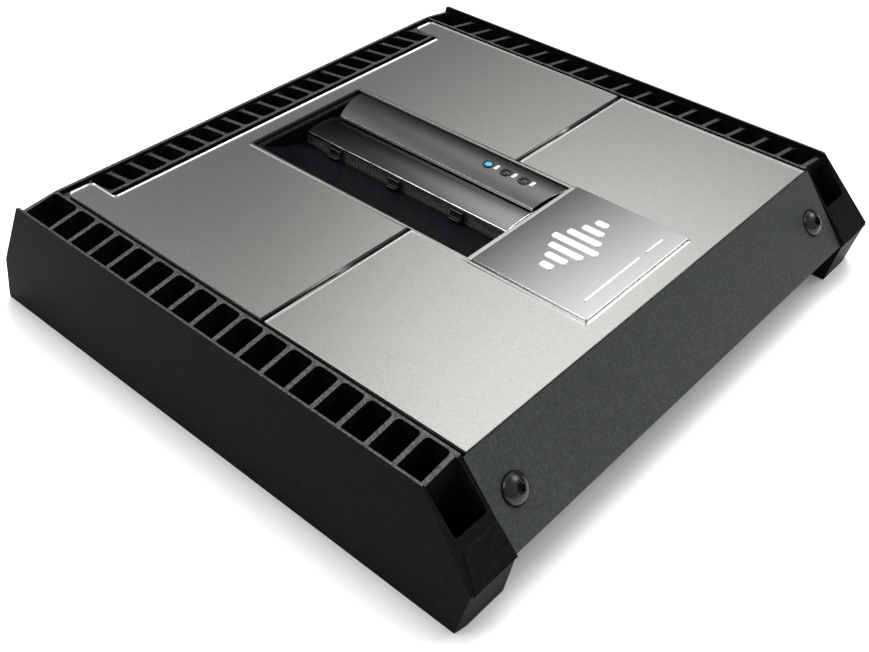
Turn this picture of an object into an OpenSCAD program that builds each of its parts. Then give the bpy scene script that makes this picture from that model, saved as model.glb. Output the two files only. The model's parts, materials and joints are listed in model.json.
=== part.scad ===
// Car amplifier. Finned castings close it on both sides and at the rear, a bright plate
// covers the top, and a sloping trim cover hides the wiring bay and its controls.
// Origin: middle of the footprint, on the surface that the amplifier stands on.
// X runs across, Y from the wiring bay (front, -Y) to the rear fins, Z up. Millimetres.

/* [Overall] */
// Width over the feet of the two side castings
overall_w = 336.6; // [330:0.1:420]
// Depth from the front waist line to the rear foot
overall_d = 318.6; // [300:0.1:400]
// Height of the side castings' rims
overall_h = 61; // [59:0.5:75]

/* [Side castings] */
// Width of one side casting at its foot
casting_w = 29.9; // [28:0.1:34]
// How far the rim sits inboard of the foot
side_lean = 7.5; // [4:0.1:9]
// Height of the waist, the line where the front sticks out most
waist_h = 26.4; // [22:0.1:30]
// Horizontal run of the sloping front, from rim to waist
front_run = 30.45; // [27:0.05:34]
// Horizontal run of the rear, from rim to foot
rear_run = 18.85; // [14:0.05:22]
// Number of open slots between a side casting's fins
fin_gaps = 16; // [12:1:18]
// Thickness of one fin
fin_t = 2.4; // [2:0.1:4]
// Thickness of the casting's floor under the fins
fin_floor = 6; // [5:0.5:9]
// Thickness of the wall that carries the transistors
spreader_t = 5.8; // [4:0.1:7]
// Radius of a slot's corners
slot_r = 2.2; // [1:0.1:3]
// Thickness of the outer side plate
plate_t = 2.6; // [2:0.1:4]

/* [Rear casting] */
// Width over the row of rear fins
rear_row_w = 244.8; // [200:0.1:248]
// Number of open slots between the rear fins
rear_gaps = 19; // [15:1:22]
// Depth of the rear slots, front to rear
rear_slot_l = 18.7; // [15:0.1:19]

/* [Top cover] */
// Thickness of the top cover
cover_t = 3; // [2.5:0.1:4]
// Gap between the top cover and the side castings
cover_gap = 2; // [0.5:0.1:3]
// Distance of the cross groove from the cover's front edge
groove_from_front = 115.4; // [95:0.1:130]
// Width of the cross groove
groove_w = 2.6; // [1:0.1:4]
// Depth of the cross groove
groove_depth = 1.8; // [0.5:0.1:2]
// Width of the badge plate
badge_w = 83.5; // [60:0.1:90]
// Length of the badge plate, front to rear
badge_l = 65.7; // [50:0.1:75]
// Thickness of the badge plate
badge_t = 2.2; // [1.5:0.1:3]

/* [Vent] */
// Width of the vent opening in the cover
vent_w = 84; // [78:0.1:92]
// Depth of the vent tray below the cover's face
vent_depth = 16.95; // [16:0.05:20]
// Side of one square fan
fan_side = 40; // [36:0.5:42]
// Thickness of one fan
fan_t = 15; // [10:0.5:18]
// Diameter of a status light's lens
lens_d = 4.3; // [3:0.1:5]
// Distance between two status lights
lens_pitch = 11.8; // [9:0.1:14]

/* [Trim cover] */
// Thickness of the trim cover
trim_t = 2.5; // [1.5:0.1:3.5]
// Lean of the trim cover from the vertical
trim_tilt = 38.6; // [36:0.1:41]
// Height of the trim cover along its slope
trim_l = 45.2; // [40:0.1:48]
// Thread diameter of the trim screws
trim_screw_d = 8; // [6:1:10]

/* [Mounting] */
// Radius of a mounting hole
mount_hole_r = 2.75; // [2:0.05:3.5]

/* [Connections and controls] */
// Radius of the wire bores in the power block
power_bore_r = 5; // [3.5:0.1:5.5]
// Radius of the wire bores in the speaker block
speaker_bore_r = 2.75; // [2:0.05:3.5]
// Distance between two speaker bores
speaker_pitch = 13; // [11:0.1:14]
// Outer radius of a signal jack's barrel
jack_r = 4.15; // [3.5:0.05:4.5]
// Radius of a control knob
knob_r = 5.5; // [4:0.1:7]
// Radius of a control's shaft
shaft_r = 3; // [2:0.1:4]
// Distance between two control knobs
knob_pitch = 20; // [17:0.5:24]

/* [Circuit board] */
// Thickness of the main circuit board
board_t = 1.6; // [1:0.1:2.4]
// Height of the stand-offs under the main board
standoff_h = 5.5; // [5:0.5:9]
// Outer radius of a toroidal transformer
toroid_r = 27; // [20:0.5:30]
// Radius of a rail capacitor
rail_cap_r = 12.5; // [8:0.5:14]
// Number of power transistors on each side
transistor_n = 9; // [5:1:9]

/* [Hidden] */
$fn = 40;

// Clearances
run_clear = 0.05;   // shaft in its bore, screw in its thread
seat_clear = 0.1;   // two faces that meet and come apart
part_clear = 0.3;   // edge of a piece from its neighbour
hole_clear = 0.3;   // screw through a plate
over = 1;           // how far a cut runs past the face that it opens

// Outline of the side castings, X
foot_x = overall_w / 2;
waist_x = foot_x - 1.4;
rim_x = foot_x - side_lean;
wall_in = foot_x - casting_w;      // strip beside the cover
fin_in = wall_in + 1.4;            // inner end of the slots
spreader_in = fin_in - spreader_t; // face that carries the transistors
plate_rim_t = 1.2;                 // outer plate's thickness at its rim
fin_out = rim_x - plate_rim_t;     // outer end of the slots
shelf_in = spreader_in - 7;        // shelf that carries the cover
ledge_in = spreader_in - 10;       // ledge that the base plate screws to

// Outline of the side castings, Y
front_y = -overall_d / 2;
rear_y = overall_d / 2;
front_top_y = front_y + front_run;
rear_top_y = rear_y - rear_run;
front_foot_y = front_y + 5.6;
rear_waist_y = rear_y - 5.1;
face_inset = 0.8;                  // front slope behind the face of its raised pad
rear_inset = 0.7;                  // ribbed part short of the plate's rear edge
pad_h = 12;                        // height of the raised pad above the waist

// Fins
body_top = overall_h - 0.4;
fin_first_y = front_top_y + 2.9;
fin_last_y = rear_top_y - 23.1;
fin_pitch = (fin_last_y - fin_first_y) / fin_gaps;
fin_crown_out = overall_h - 3.8;

// Corner shafts that the mounting screws stand in
shaft_y0 = front_top_y - 15.45;
shaft_y1 = fin_first_y - fin_t / 2;
bay_y0 = fin_last_y + fin_t / 2;
bay_y1 = rear_top_y - rear_inset - 1.4;
mount_x = foot_x - 19.3;
mount_front_y = front_top_y - 9.55;
mount_rear_y = rear_top_y - 14.2;

// Levels
base_z0 = 2;
base_z1 = 5;
ledge_z1 = 9;
cover_z1 = overall_h - 0.45;
cover_z0 = cover_z1 - cover_t;
shelf_z1 = cover_z0 - 0.05;
shelf_z0 = shelf_z1 - 3;
board_z0 = base_z1 + standoff_h;
board_z1 = board_z0 + board_t;

// Terminal panel, screwed to bosses on the side castings
panel_t = 2;
panel_y1 = front_top_y + 16.85;
panel_y0 = panel_y1 - panel_t;
panel_screw_r = 1.25;
panel_screw_x = spreader_in - 3;
panel_screw_zs = [base_z1 + 13, shelf_z0 - 1.3];

// Rear casting
rear_in_y = rear_top_y - 25.85;
rear_strip_y0 = rear_in_y + 3.2;
rear_slot_y0 = rear_in_y + 5.2;
rear_slot_y1 = rear_slot_y0 + rear_slot_l;
rear_pitch = (rear_row_w - fin_t) / rear_gaps;
rear_ledge_y = rear_in_y - 10;
rear_heel_y = rear_in_y + 3.4;
rear_crown_in = overall_h - 0.6;
rear_crown_out = overall_h - 3;
rear_rim_z = overall_h - 0.8;

// Top cover
cover_x = wall_in - cover_gap;
cover_y0 = front_top_y - 0.25;
cover_y1 = rear_top_y - 6.95;
notch_x = rear_row_w / 2 - 0.9;
notch_y = rear_in_y - part_clear;
groove_y = cover_y0 + groove_from_front;
badge_y0 = cover_y0 + 11.9;
badge_y1 = badge_y0 + badge_l;
badge_seat = 1;
stud_x = (spreader_in + shelf_in) / 2;
stud_r = 2;
stud_ys = [for (k = [0:3]) panel_y1 + 14 + k * (rear_in_y - panel_y1 - 28) / 3];

// Vent
vent_y0 = badge_y1 + part_clear;
vent_y1 = notch_y - 10.6;
tray_x = vent_w / 2 - part_clear;
tray_y0 = vent_y0 + part_clear;
tray_y1 = vent_y1 - part_clear;
tray_z0 = cover_z1 - vent_depth;
tray_floor = tray_z0 + 2.3;
tray_rim = cover_z1 - 0.35;
tray_wall = 1.5;
tray_sill = 2.55;
scoop_end_x = -5.5;
blade_t = 1.7;
upper_edge = [15.6, cover_z1 - 3.15];
upper_root = [tray_x - tray_wall - seat_clear, cover_z1 - 1.25];
lower_edge = [-4.9, cover_z1 - 6.5];
lower_root = [22, cover_z1 - 6.4];
blade_y0 = tray_y0 + 7.6;
upper_y1 = tray_y1 - 2.4;
upper_edge_y1 = tray_y1 - 10;
lower_y1 = tray_y1 - 3;
mesh_x = lower_edge[0] + 0.6;
mesh_t = 0.8;
mesh_z1 = lower_edge[1] - 1.75;
clip_ys = [for (k = [-1:1]) vent_y0 + 83.5 + k * 43.8];
rib_ys = [blade_y0 + 3, vent_y0 + 63, vent_y0 + 107, upper_edge_y1 - 4];
lens_x = 29.9;
lens_ys = [for (k = [0:2]) vent_y0 + 24.9 + k * lens_pitch];
lens_seat = cover_z1 - 1.35;
bezel_r = lens_d / 2 + 1.2;

// Fans under the vent tray
fan_x = 18.5;
fan_ys = [vent_y0 + 56, vent_y0 + 106];
fan_z1 = tray_z0;
fan_z0 = fan_z1 - fan_t;
fan_bore = fan_side / 2 - 1.3;
fan_hole = fan_side / 2 - 4;
fan_screw_r = 1.5;

// Trim cover; its outer face starts at the top edge below
trim_x = wall_in + 0.2;
relief_x = wall_in + 1;
trim_top = [cover_y0 - part_clear, cover_z1 - 0.25];
trim_screw_x = wall_in - 14.4;
trim_screw_s = 24.2;
screw_head_r = trim_screw_d * 0.875;
screw_head_h = trim_screw_d * 0.5;
bracket_w = trim_screw_d + 7;

// Wiring bay: centres along X and heights of its pieces
bay_floor_y = front_top_y - 9.15;
power_xs = [-99, -76];
remote_wire_x = -59;
power_edges = [-112, -87.5, -67.5, -52];
cell_gap = 0.4;                    // between two clamp terminals
power_z = base_z1 + 10.5;
power_h = 22;
power_depth = 24;
speaker_x = -14;
speaker_z = base_z1 + 8.5;
speaker_h = 18;
speaker_depth = 18;
jack_xs = [36, 54, 76, 94];
jack_z = board_z1 + 6.4;
jack_l = 12;
phone_x = 109.5;
control_z = cover_z1 - 18.5;
knob_x0 = 34;
knob_xs = [for (k = [0:3]) knob_x0 + k * knob_pitch];
switch_xs = [10, -12];
control_y1 = panel_y1 + 9.6;
control_y0 = control_y1 - 1.6;

// Circuit board
board_x = spreader_in - 2;
board_y0 = panel_y1 + 2.5;
board_y1 = rear_in_y - 2.6;
spread_mid_y = (panel_y1 + rear_in_y) / 2;
toroid_x = 72;
toroid_y = board_y0 + 51.5;
toroid_h = 26;
choke_x = 64;
choke_y = toroid_y + 66;
rail_cap_xs = [60, 92];
rail_cap_ys = [board_y1 - 67, board_y1 - 37];
rail_cap_h = 36;
input_cap_ys = [choke_y - 28, choke_y - 6];
input_cap_x = 104;
transistor_pitch = 20;
transistor_w = 15;
transistor_z = [board_z1 + 6, board_z1 + 27];
transistor_d = 5;
pad_t = 0.5;
bar_t = 4;
bar_z = board_z1 + 18;
clamp_offsets = [-90, -30, 30, 90];
standoff_xs = [-board_x + 13, 0, board_x - 13];
standoff_ys = [board_y0 + 8, (board_y0 + board_y1) / 2, board_y1 - 16];
base_screw_ys = [for (k = [0:3]) panel_y1 + 20 + k * (rear_in_y - panel_y1 - 46) / 3];

// Colours
casting_black = [0.12, 0.13, 0.13];
cover_silver = [0.72, 0.71, 0.68];
trim_grey = [0.27, 0.29, 0.28];
gloss_black = [0.04, 0.04, 0.05];
screw_steel = [0.55, 0.55, 0.56];
board_green = [0.08, 0.27, 0.16];

// ---- Shapes that several pieces share ----

function unit(v) = v / norm(v);

// Arc that rounds the corner v between its neighbours p and n
function corner_arc(p, v, n, r, steps) =
    let (a = unit(p - v), b = unit(n - v), half = acos(a * b) / 2,
         c = v + unit(a + b) * r / sin(half), s = v + a * r / tan(half) - c,
         e = v + b * r / tan(half) - c, turn = sign(cross(s, e)) * (180 - 2 * half))
    [for (k = [0:steps]) let (w = turn * k / steps)
        c + [s[0] * cos(w) - s[1] * sin(w), s[0] * sin(w) + s[1] * cos(w)]];

// Outline whose corners are rounded, each by its own radius
function rounded(pts, radii, steps = 4) =
    let (n = len(pts))
    [for (i = [0:n - 1]) each (radii[i] > 0
        ? corner_arc(pts[(i + n - 1) % n], pts[i], pts[(i + 1) % n], radii[i], steps)
        : [pts[i]])];

// Arc from p to q that bulges to the left of the way from p to q
function bow(p, q, rise, steps = 12) =
    let (h = norm(q - p) / 2, r = (h * h + rise * rise) / (2 * rise), u = unit(q - p),
         side = [-u[1], u[0]], c = (p + q) / 2 - side * (r - rise), span = 2 * asin(h / r))
    [for (k = [0:steps]) let (w = span * (0.5 - k / steps))
        c + r * (side * cos(w) - u * sin(w))];

// Rectangle with one corner radius
module pane(x0, x1, y0, y1, r, steps = 4)
    polygon(rounded([[x0, y0], [x1, y0], [x1, y1], [x0, y1]], [r, r, r, r], steps));

// Solid between two opposite corners
module block(lo, hi) translate(lo) cube(hi - lo);

// Outline in (Y, Z) carried along X
module along_x(x0, x1)
    translate([x0, 0, 0]) rotate([90, 0, 90]) linear_extrude(height = x1 - x0) children();

// Outline in (X, Z) carried along Y
module along_y(y0, y1)
    translate([0, y1, 0]) rotate([90, 0, 0]) linear_extrude(height = y1 - y0) children();

// Outline in (X, Y) carried along Z
module along_z(z0, z1)
    translate([0, 0, z0]) linear_extrude(height = z1 - z0) children();

// Round bars along each axis, from one end to the other
module bar_x(x0, x1, y, z, r) translate([x0, y, z]) rotate([0, 90, 0]) cylinder(r = r, h = x1 - x0);
module bar_y(y0, y1, x, z, r) translate([x, y1, z]) rotate([90, 0, 0]) cylinder(r = r, h = y1 - y0);
module bar_z(z0, z1, x, y, r) translate([x, y, z0]) cylinder(r = r, h = z1 - z0);

// The same thing on both sides
module both_sides() {
    children();
    mirror([1, 0, 0]) children();
}

// Frame on the trim cover's outer face, s down the slope, with Z pointing out of it
module on_trim(x, s)
    translate([x, trim_top[0] - s * sin(trim_tilt), trim_top[1] - s * cos(trim_tilt)])
        rotate([90 - trim_tilt, 0, 0]) children();

// Point on the plane that lies depth behind the trim's outer face, s down its slope
function trim_point(s, depth) = [
    trim_top[0] - s * sin(trim_tilt) + depth * cos(trim_tilt),
    trim_top[1] - s * cos(trim_tilt) - depth * sin(trim_tilt)];

// Pan-head screw: shank from z0 to z1, head below z0
module screw_up(x, y, z0, z1, r) {
    bar_z(z0 - r * 0.8, z0, x, y, r * 1.8);
    bar_z(z0 - 0.01, z1, x, y, r);
}

// ---- Castings ----

module side_section()
    polygon([[wall_in, 0], [foot_x, 0], [waist_x, waist_h], [rim_x, overall_h],
             [wall_in, overall_h]]);

module plate_section()
    polygon([[foot_x - plate_t, 0], [foot_x, 0], [waist_x, waist_h], [rim_x, overall_h],
             [fin_out, overall_h], [waist_x - plate_t, waist_h]]);

module plate_outline()
    polygon(rounded([[front_foot_y, 0], [rear_y, 0], [rear_waist_y, waist_h],
                     [rear_top_y, overall_h], [front_top_y + face_inset, overall_h],
                     [front_y + face_inset, waist_h]],
                    [0, 1.5, 0, 1.5, 1, 0]));

module body_outline()
    polygon([[front_foot_y, 0], [rear_y - rear_inset, 0],
             [rear_waist_y - rear_inset, waist_h], [rear_top_y - rear_inset, body_top],
             [front_top_y + face_inset, body_top], [front_y + face_inset, waist_h]]);

// Wall that carries the transistors, with the cover's shelf, the base plate's ledge and
// the terminal panel's screw bosses
module spreader() {
    for (z = panel_screw_zs)
        block([panel_screw_x - 3, panel_y1, z - 3], [spreader_in + 0.5, panel_y1 + 8, z + 3]);
    along_y(panel_y1, rear_in_y - 0.2)
        polygon([[ledge_in, base_z1], [wall_in + 0.5, base_z1], [wall_in + 0.5, shelf_z1],
                 [shelf_in, shelf_z1], [shelf_in, shelf_z0], [spreader_in, shelf_z0],
                 [spreader_in, ledge_z1], [ledge_in, ledge_z1]]);
}

// Raised pad on the lower half of the front slope; its outer edge runs to the waist corner
module front_pad() {
    top_y = front_y + pad_h * front_run / (overall_h - waist_h);
    pad_top_z = waist_h + pad_h;
    intersection() {
        along_x(relief_x, foot_x)
            polygon([[top_y + 3, pad_top_z], [top_y, pad_top_z], [front_y, waist_h],
                     [front_y + face_inset, waist_h - 2], [front_y + 4, waist_h - 2]]);
        along_y(front_y - over, front_top_y)
            polygon([[relief_x, waist_h - 3], [waist_x - 2.2, waist_h - 3],
                     [waist_x - 2.2, waist_h], [fin_out + 0.2, pad_top_z],
                     [fin_out + 0.2, pad_top_z + over], [relief_x, pad_top_z + over]]);
    }
}

// Triangular chamfer at the foot of the outer front corner
module foot_chamfer()
    polyhedron([[waist_x, front_y + face_inset, waist_h], [foot_x - 6.1, front_foot_y, 0],
                [foot_x, front_foot_y + 1.2, 0], [foot_x + 3, front_foot_y - 8, 0],
                [foot_x - 6.1, front_foot_y, -over], [foot_x, front_foot_y + 1.2, -over],
                [foot_x + 3, front_foot_y - 8, -over]],
               [[0, 2, 1], [0, 3, 2], [0, 1, 3], [1, 2, 5, 4], [2, 3, 6, 5], [3, 1, 4, 6],
                [4, 5, 6]]);

module right_side() {
    difference() {
        union() {
            intersection() {
                along_y(front_y, rear_y) side_section();
                along_x(wall_in, foot_x) body_outline();
            }
            intersection() {
                along_y(front_y, rear_y) plate_section();
                along_x(fin_out, foot_x) plate_outline();
            }
            spreader();
            front_pad();
        }
        foot_chamfer();
        for (i = [0:fin_gaps - 1])
            along_z(fin_floor, overall_h + over)
                pane(fin_in, fin_out, fin_first_y + i * fin_pitch + fin_t / 2,
                     fin_first_y + (i + 1) * fin_pitch - fin_t / 2, slot_r);
        along_z(fin_floor, overall_h + over) pane(fin_in, fin_out, bay_y0, bay_y1, slot_r);
        along_z(fin_floor, overall_h + over)
            pane(relief_x + 1.2, fin_out, shaft_y0, shaft_y1, 1);
        along_y(front_y, rear_y)
            polygon([[fin_in, body_top], [fin_out, fin_crown_out],
                     [fin_out, overall_h + over], [fin_in, overall_h + over]]);
        block([wall_in - over, front_y - over, -over],
              [relief_x, front_top_y, overall_h + over]);
        for (y = [mount_front_y, mount_rear_y])
            bar_z(-over, fin_floor + over, mount_x, y, mount_hole_r);
        for (y = stud_ys) bar_z(shelf_z0 - over, shelf_z1 + over, stud_x, y, stud_r + hole_clear);
        for (y = base_screw_ys)
            bar_z(base_z1 - over, ledge_z1 + over, stud_x, y, stud_r);
        for (c = clamp_offsets)
            bar_x(spreader_in - over, fin_in - 1, spread_mid_y + c, bar_z, stud_r);
        for (z = panel_screw_zs)
            bar_y(panel_y1 - over, panel_y1 + 7, panel_screw_x, z, panel_screw_r);
    }
}

module right_casting() color(casting_black) right_side();

module left_casting() color(casting_black) mirror([1, 0, 0]) right_side();

module rear_casting() {
    row_x0 = -rear_row_w / 2;
    color(casting_black) difference() {
        union() {
            along_x(-wall_in + part_clear, wall_in - part_clear)
                polygon([[rear_in_y, base_z1], [rear_heel_y, base_z1], [rear_heel_y, 0],
                         [rear_y, 0], [rear_waist_y, waist_h], [rear_top_y, rear_rim_z],
                         [rear_slot_y1, rear_rim_z], [rear_slot_y1, shelf_z1],
                         [rear_in_y, shelf_z1]]);
            along_x(-notch_x + part_clear, notch_x - part_clear)
                polygon([[rear_strip_y0, shelf_z1 - over], [rear_slot_y1 + 0.5, shelf_z1 - over],
                         [rear_slot_y1 + 0.5, rear_crown_out], [rear_slot_y0, rear_crown_in],
                         [rear_strip_y0, rear_crown_in]]);
            along_x(-ledge_in + part_clear, ledge_in - part_clear)
                polygon([[rear_ledge_y, base_z1], [rear_in_y + 0.5, base_z1],
                         [rear_in_y + 0.5, ledge_z1], [rear_ledge_y, ledge_z1]]);
        }
        for (i = [0:rear_gaps - 1])
            along_z(fin_floor, overall_h + over)
                pane(row_x0 + fin_t + i * rear_pitch, row_x0 + (i + 1) * rear_pitch,
                     rear_slot_y0, rear_slot_y1, slot_r);
        both_sides() along_z(fin_floor, overall_h + over)
            pane(rear_row_w / 2 + 2, wall_in - 4, rear_slot_y0, cover_y1 - 3, slot_r);
        for (x = [-80, 0, 80])
            bar_z(base_z1 - over, ledge_z1 + over, x, rear_ledge_y + 5, stud_r);
    }
}

// ---- Base and top ----

module base_plate() color([0.2, 0.2, 0.2]) difference() {
    along_z(base_z0, base_z1)
        pane(-wall_in + part_clear, wall_in - part_clear, bay_floor_y,
             rear_heel_y - part_clear, 3);
    both_sides() for (y = base_screw_ys)
        bar_z(base_z0 - over, base_z1 + over, stud_x, y, stud_r + hole_clear);
    for (x = [-80, 0, 80])
        bar_z(base_z0 - over, base_z1 + over, x, rear_ledge_y + 5, stud_r + hole_clear);
    for (x = standoff_xs, y = standoff_ys)
        bar_z(base_z0 - over, base_z1 + over, x, y, 1.5 + hole_clear);
}

module base_screws() color(screw_steel) {
    both_sides() for (y = base_screw_ys)
        screw_up(stud_x, y, base_z0, ledge_z1 - 0.5, stud_r - run_clear);
    for (x = [-80, 0, 80])
        screw_up(x, rear_ledge_y + 5, base_z0, ledge_z1 - 0.5, stud_r - run_clear);
}

module top_cover() color(cover_silver) difference() {
    union() {
        along_z(cover_z0, cover_z1)
            polygon(rounded([[-cover_x, cover_y0], [cover_x, cover_y0], [cover_x, cover_y1],
                             [notch_x, cover_y1], [notch_x, notch_y], [-notch_x, notch_y],
                             [-notch_x, cover_y1], [-cover_x, cover_y1]],
                            [0.6, 0.6, 3, 3, 1.5, 1.5, 3, 3], 6));
        both_sides() for (y = stud_ys)
            bar_z(shelf_z0 - 4, cover_z0 + 1, stud_x, y, stud_r - run_clear);
    }
    along_z(cover_z0 - over, cover_z1 + over) pane(-vent_w / 2, vent_w / 2, vent_y0, vent_y1, 0.8);
    along_z(cover_z1 - badge_seat, cover_z1 + over)
        pane(-badge_w / 2 - part_clear, badge_w / 2 + part_clear, badge_y0 - part_clear,
             vent_y0 + over, 0.5);
    both_sides() block([vent_w / 2 - over, groove_y, cover_z1 - groove_depth],
                       [cover_x + over, groove_y + groove_w, cover_z1 + over]);
}

module cover_nuts() color(screw_steel) both_sides() for (y = stud_ys) difference() {
    translate([stud_x, y, shelf_z0 - 3.2]) rotate([0, 0, 30])
        cylinder(r = stud_r * 1.9, h = 3.2, $fn = 6);
    bar_z(shelf_z0 - 3.2 - over, shelf_z0 + over, stud_x, y, stud_r);
}

module badge_plate() color([0.6, 0.6, 0.6])
    along_z(cover_z1 - badge_seat, cover_z1 - badge_seat + badge_t)
        pane(-badge_w / 2, badge_w / 2, badge_y0, badge_y1, 0.8);

// Plain level bars over two rules, with no lettering
module badge_emblem() {
    bars = [7, 12, 19, 26, 19, 12, 7];
    mid = (badge_y0 + badge_y1) / 2 + 4;
    color([0.85, 0.85, 0.84])
        along_z(cover_z1 - badge_seat + badge_t, cover_z1 - badge_seat + badge_t + 0.35) {
            for (i = [0:len(bars) - 1]) let (x = (i - 3) * 7.4)
                pane(x - 2.2, x + 2.2, mid - bars[i] / 2, mid + bars[i] / 2, 1.2);
            pane(-badge_w / 2 + 10, 12, badge_y0 + 8, badge_y0 + 9, 0.3);
            pane(18, badge_w / 2 - 10, badge_y0 + 8, badge_y0 + 9, 0.3);
        }
}

// ---- Vent ----

// Cross-section of a louvre blade: a convex skin of constant thickness
module blade_section(edge, root, rise) {
    skin = bow(root, edge, -rise);
    down = [for (p = bow(edge, root, rise)) p - [0, blade_t]];
    polygon(concat(skin, down));
}

// Cut under the blades that leaves each tray rib carrying both of them
module rib_section() {
    polygon([[-1, tray_floor - 1], [-1, mesh_z1 - 0.2], [4, lower_edge[1] - 1.2],
             [lower_root[0] - 2, lower_root[1] - blade_t - 0.2],
             [lower_root[0] + 1, lower_root[1] - blade_t - 0.2],
             [lower_root[0] + 1, cover_z1 - 4.5], [upper_root[0] - 2, cover_z1 - 3.5],
             [upper_root[0] + 1, cover_z1 - 3.5], [upper_root[0] + 1, tray_floor - 1]]);
}

module vent_insert() {
    lip = [-tray_x + 0.8, tray_rim];
    foot = [scoop_end_x, tray_floor];
    color(gloss_black) difference() {
        union() {
            along_y(tray_y0, tray_y1)
                polygon(concat([[-tray_x, tray_rim], [-tray_x, tray_rim - 6]],
                               [[scoop_end_x - 2, tray_z0], [tray_x, tray_z0], [tray_x, tray_rim],
                                [tray_x - tray_wall, tray_rim], [tray_x - tray_wall, tray_floor]],
                               bow(foot, lip, 2.3)));
            block([-tray_x, tray_y0, tray_z0], [tray_x, tray_y0 + tray_sill, cover_z1 - 0.1]);
            block([-tray_x, tray_y1 - 2.2, tray_z0], [tray_x, tray_y1, cover_z1 - 3.2]);
            difference() {
                block([-tray_x - 4, tray_y0 - 4, cover_z0 - 2.1],
                      [tray_x + 4, tray_y1 + 4, cover_z0 - seat_clear]);
                block([-tray_x + 0.5, tray_y0 + 0.5, cover_z0 - 3],
                      [tray_x - 0.5, tray_y1 - 0.5, cover_z0 + over]);
            }
            for (y = rib_ys) along_y(y - 1.25, y + 1.25) rib_section();
            block([tray_x - 6, lens_ys[0] - 7, tray_floor + 5.5],
                  [tray_x - 1, lens_ys[2] + 7, tray_floor + 7.5]);
        }
        for (y = fan_ys) {
            bar_z(tray_z0 - over, tray_floor + over, fan_x, y, fan_bore - 0.2);
            for (dx = [-fan_hole, fan_hole], dy = [-fan_hole, fan_hole])
                bar_z(tray_z0 - over, tray_floor - 0.4, fan_x + dx, y + dy, fan_screw_r);
        }
    }
}

module upper_blade() {
    root_y0 = tray_y0 + tray_sill + 0.25;
    plan = concat([[upper_edge[0] - 2, blade_y0], [upper_edge[0], blade_y0],
                   [upper_root[0], root_y0], [upper_root[0] + 2, root_y0],
                   [upper_root[0] + 2, upper_y1]],
                  bow([upper_root[0], upper_y1], [upper_edge[0], upper_edge_y1], -0.6, 8),
                  [[upper_edge[0] - 2, upper_edge_y1]]);
    color([0.42, 0.42, 0.41]) difference() {
        intersection() {
            along_y(root_y0, upper_y1) blade_section(upper_edge, upper_root, 1.4);
            along_z(cover_z1 - 8, cover_z1 + over) polygon(plan);
        }
        for (y = lens_ys) {
            bar_z(cover_z1 - 8, cover_z1 + over, lens_x, y, lens_d / 2 + 0.6);
            bar_z(lens_seat, cover_z1 + over, lens_x, y, bezel_r + 0.1);
        }
    }
}

module lower_blade() color([0.3, 0.3, 0.3])
    along_y(blade_y0, lower_y1) blade_section(lower_edge, lower_root, 1.2);

// Upright grille under the edge of the lower blade
module vent_mesh() {
    pitch = 3.6;
    count = floor((lower_y1 - blade_y0 - 4) / pitch);
    color([0.25, 0.25, 0.25]) difference() {
        block([mesh_x, blade_y0, tray_floor], [mesh_x + mesh_t, lower_y1, mesh_z1]);
        for (i = [0:count - 1])
            block([mesh_x - over, blade_y0 + 2 + i * pitch, tray_floor + 1],
                  [mesh_x + mesh_t + over, blade_y0 + 4 + i * pitch, mesh_z1 - 1]);
    }
}

module mesh_clips() color(gloss_black) for (y = clip_ys) {
    block([mesh_x - 2.2, y - 4, tray_floor + 0.6], [mesh_x - 0.05, y + 4, mesh_z1 - 0.2]);
    block([mesh_x - 4.2, y - 3, tray_floor + 1.6], [mesh_x - 2.1, y + 3, tray_floor + 2.4]);
}

module lens_bezels() color([0.15, 0.15, 0.16]) for (y = lens_ys) difference() {
    union() {
        bar_z(lens_seat, lens_seat + 1, lens_x, y, bezel_r);
        bar_z(lens_seat - 2.5, lens_seat + 0.5, lens_x, y, lens_d / 2 + 0.55);
    }
    bar_z(lens_seat - 4, lens_seat + 2, lens_x, y, lens_d / 2);
}

// Domed light pipe that stands in its bezel
module lens_at(y) translate([lens_x, y, 0]) rotate_extrude()
    polygon(concat([[0, lens_seat - 2.4], [lens_d / 2 - run_clear, lens_seat - 2.4],
                    [lens_d / 2 - run_clear, lens_seat + 0.5]],
                   [for (k = [1:5]) [(lens_d / 2 - run_clear) * cos(k * 18),
                                     lens_seat + 0.5 + 0.6 * sin(k * 18)]]));

module power_lens() color([0.2, 0.55, 1]) lens_at(lens_ys[2]);

module status_lenses() color([0.1, 0.1, 0.1]) for (k = [0, 1]) lens_at(lens_ys[k]);

module led_board() color(board_green)
    block([lens_x - 5.5, lens_ys[0] - 6, tray_floor + 7.6],
          [tray_x - tray_wall - 0.3, lens_ys[2] + 6, tray_floor + 8.6]);

module leds() color([0.9, 0.9, 0.95]) for (y = lens_ys)
    bar_z(tray_floor + 8.6, lens_seat - 2.7, lens_x, y, 1.2);

// ---- Fans ----

module fan_housings() color([0.1, 0.1, 0.1]) for (y = fan_ys) difference() {
    union() {
        difference() {
            along_z(fan_z0, fan_z1)
                pane(fan_x - fan_side / 2, fan_x + fan_side / 2, y - fan_side / 2,
                     y + fan_side / 2, 3);
            bar_z(fan_z0 - over, fan_z1 + over, fan_x, y, fan_bore);
        }
        bar_z(fan_z0, fan_z0 + 2, fan_x, y, 9.5);
        bar_z(fan_z0, fan_z0 + 7, fan_x, y, 3);
        for (a = [45:90:315]) translate([fan_x, y, fan_z0]) rotate([0, 0, a])
            translate([8, -1.2, 0]) cube([fan_bore - 7, 2.4, 2]);
    }
    for (dx = [-fan_hole, fan_hole], dy = [-fan_hole, fan_hole])
        bar_z(fan_z0 - over, fan_z1 + over, fan_x + dx, y + dy, fan_screw_r + hole_clear);
    bar_z(fan_z0 + 1, fan_z0 + 8, fan_x, y, 1.5 + run_clear);
}

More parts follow.
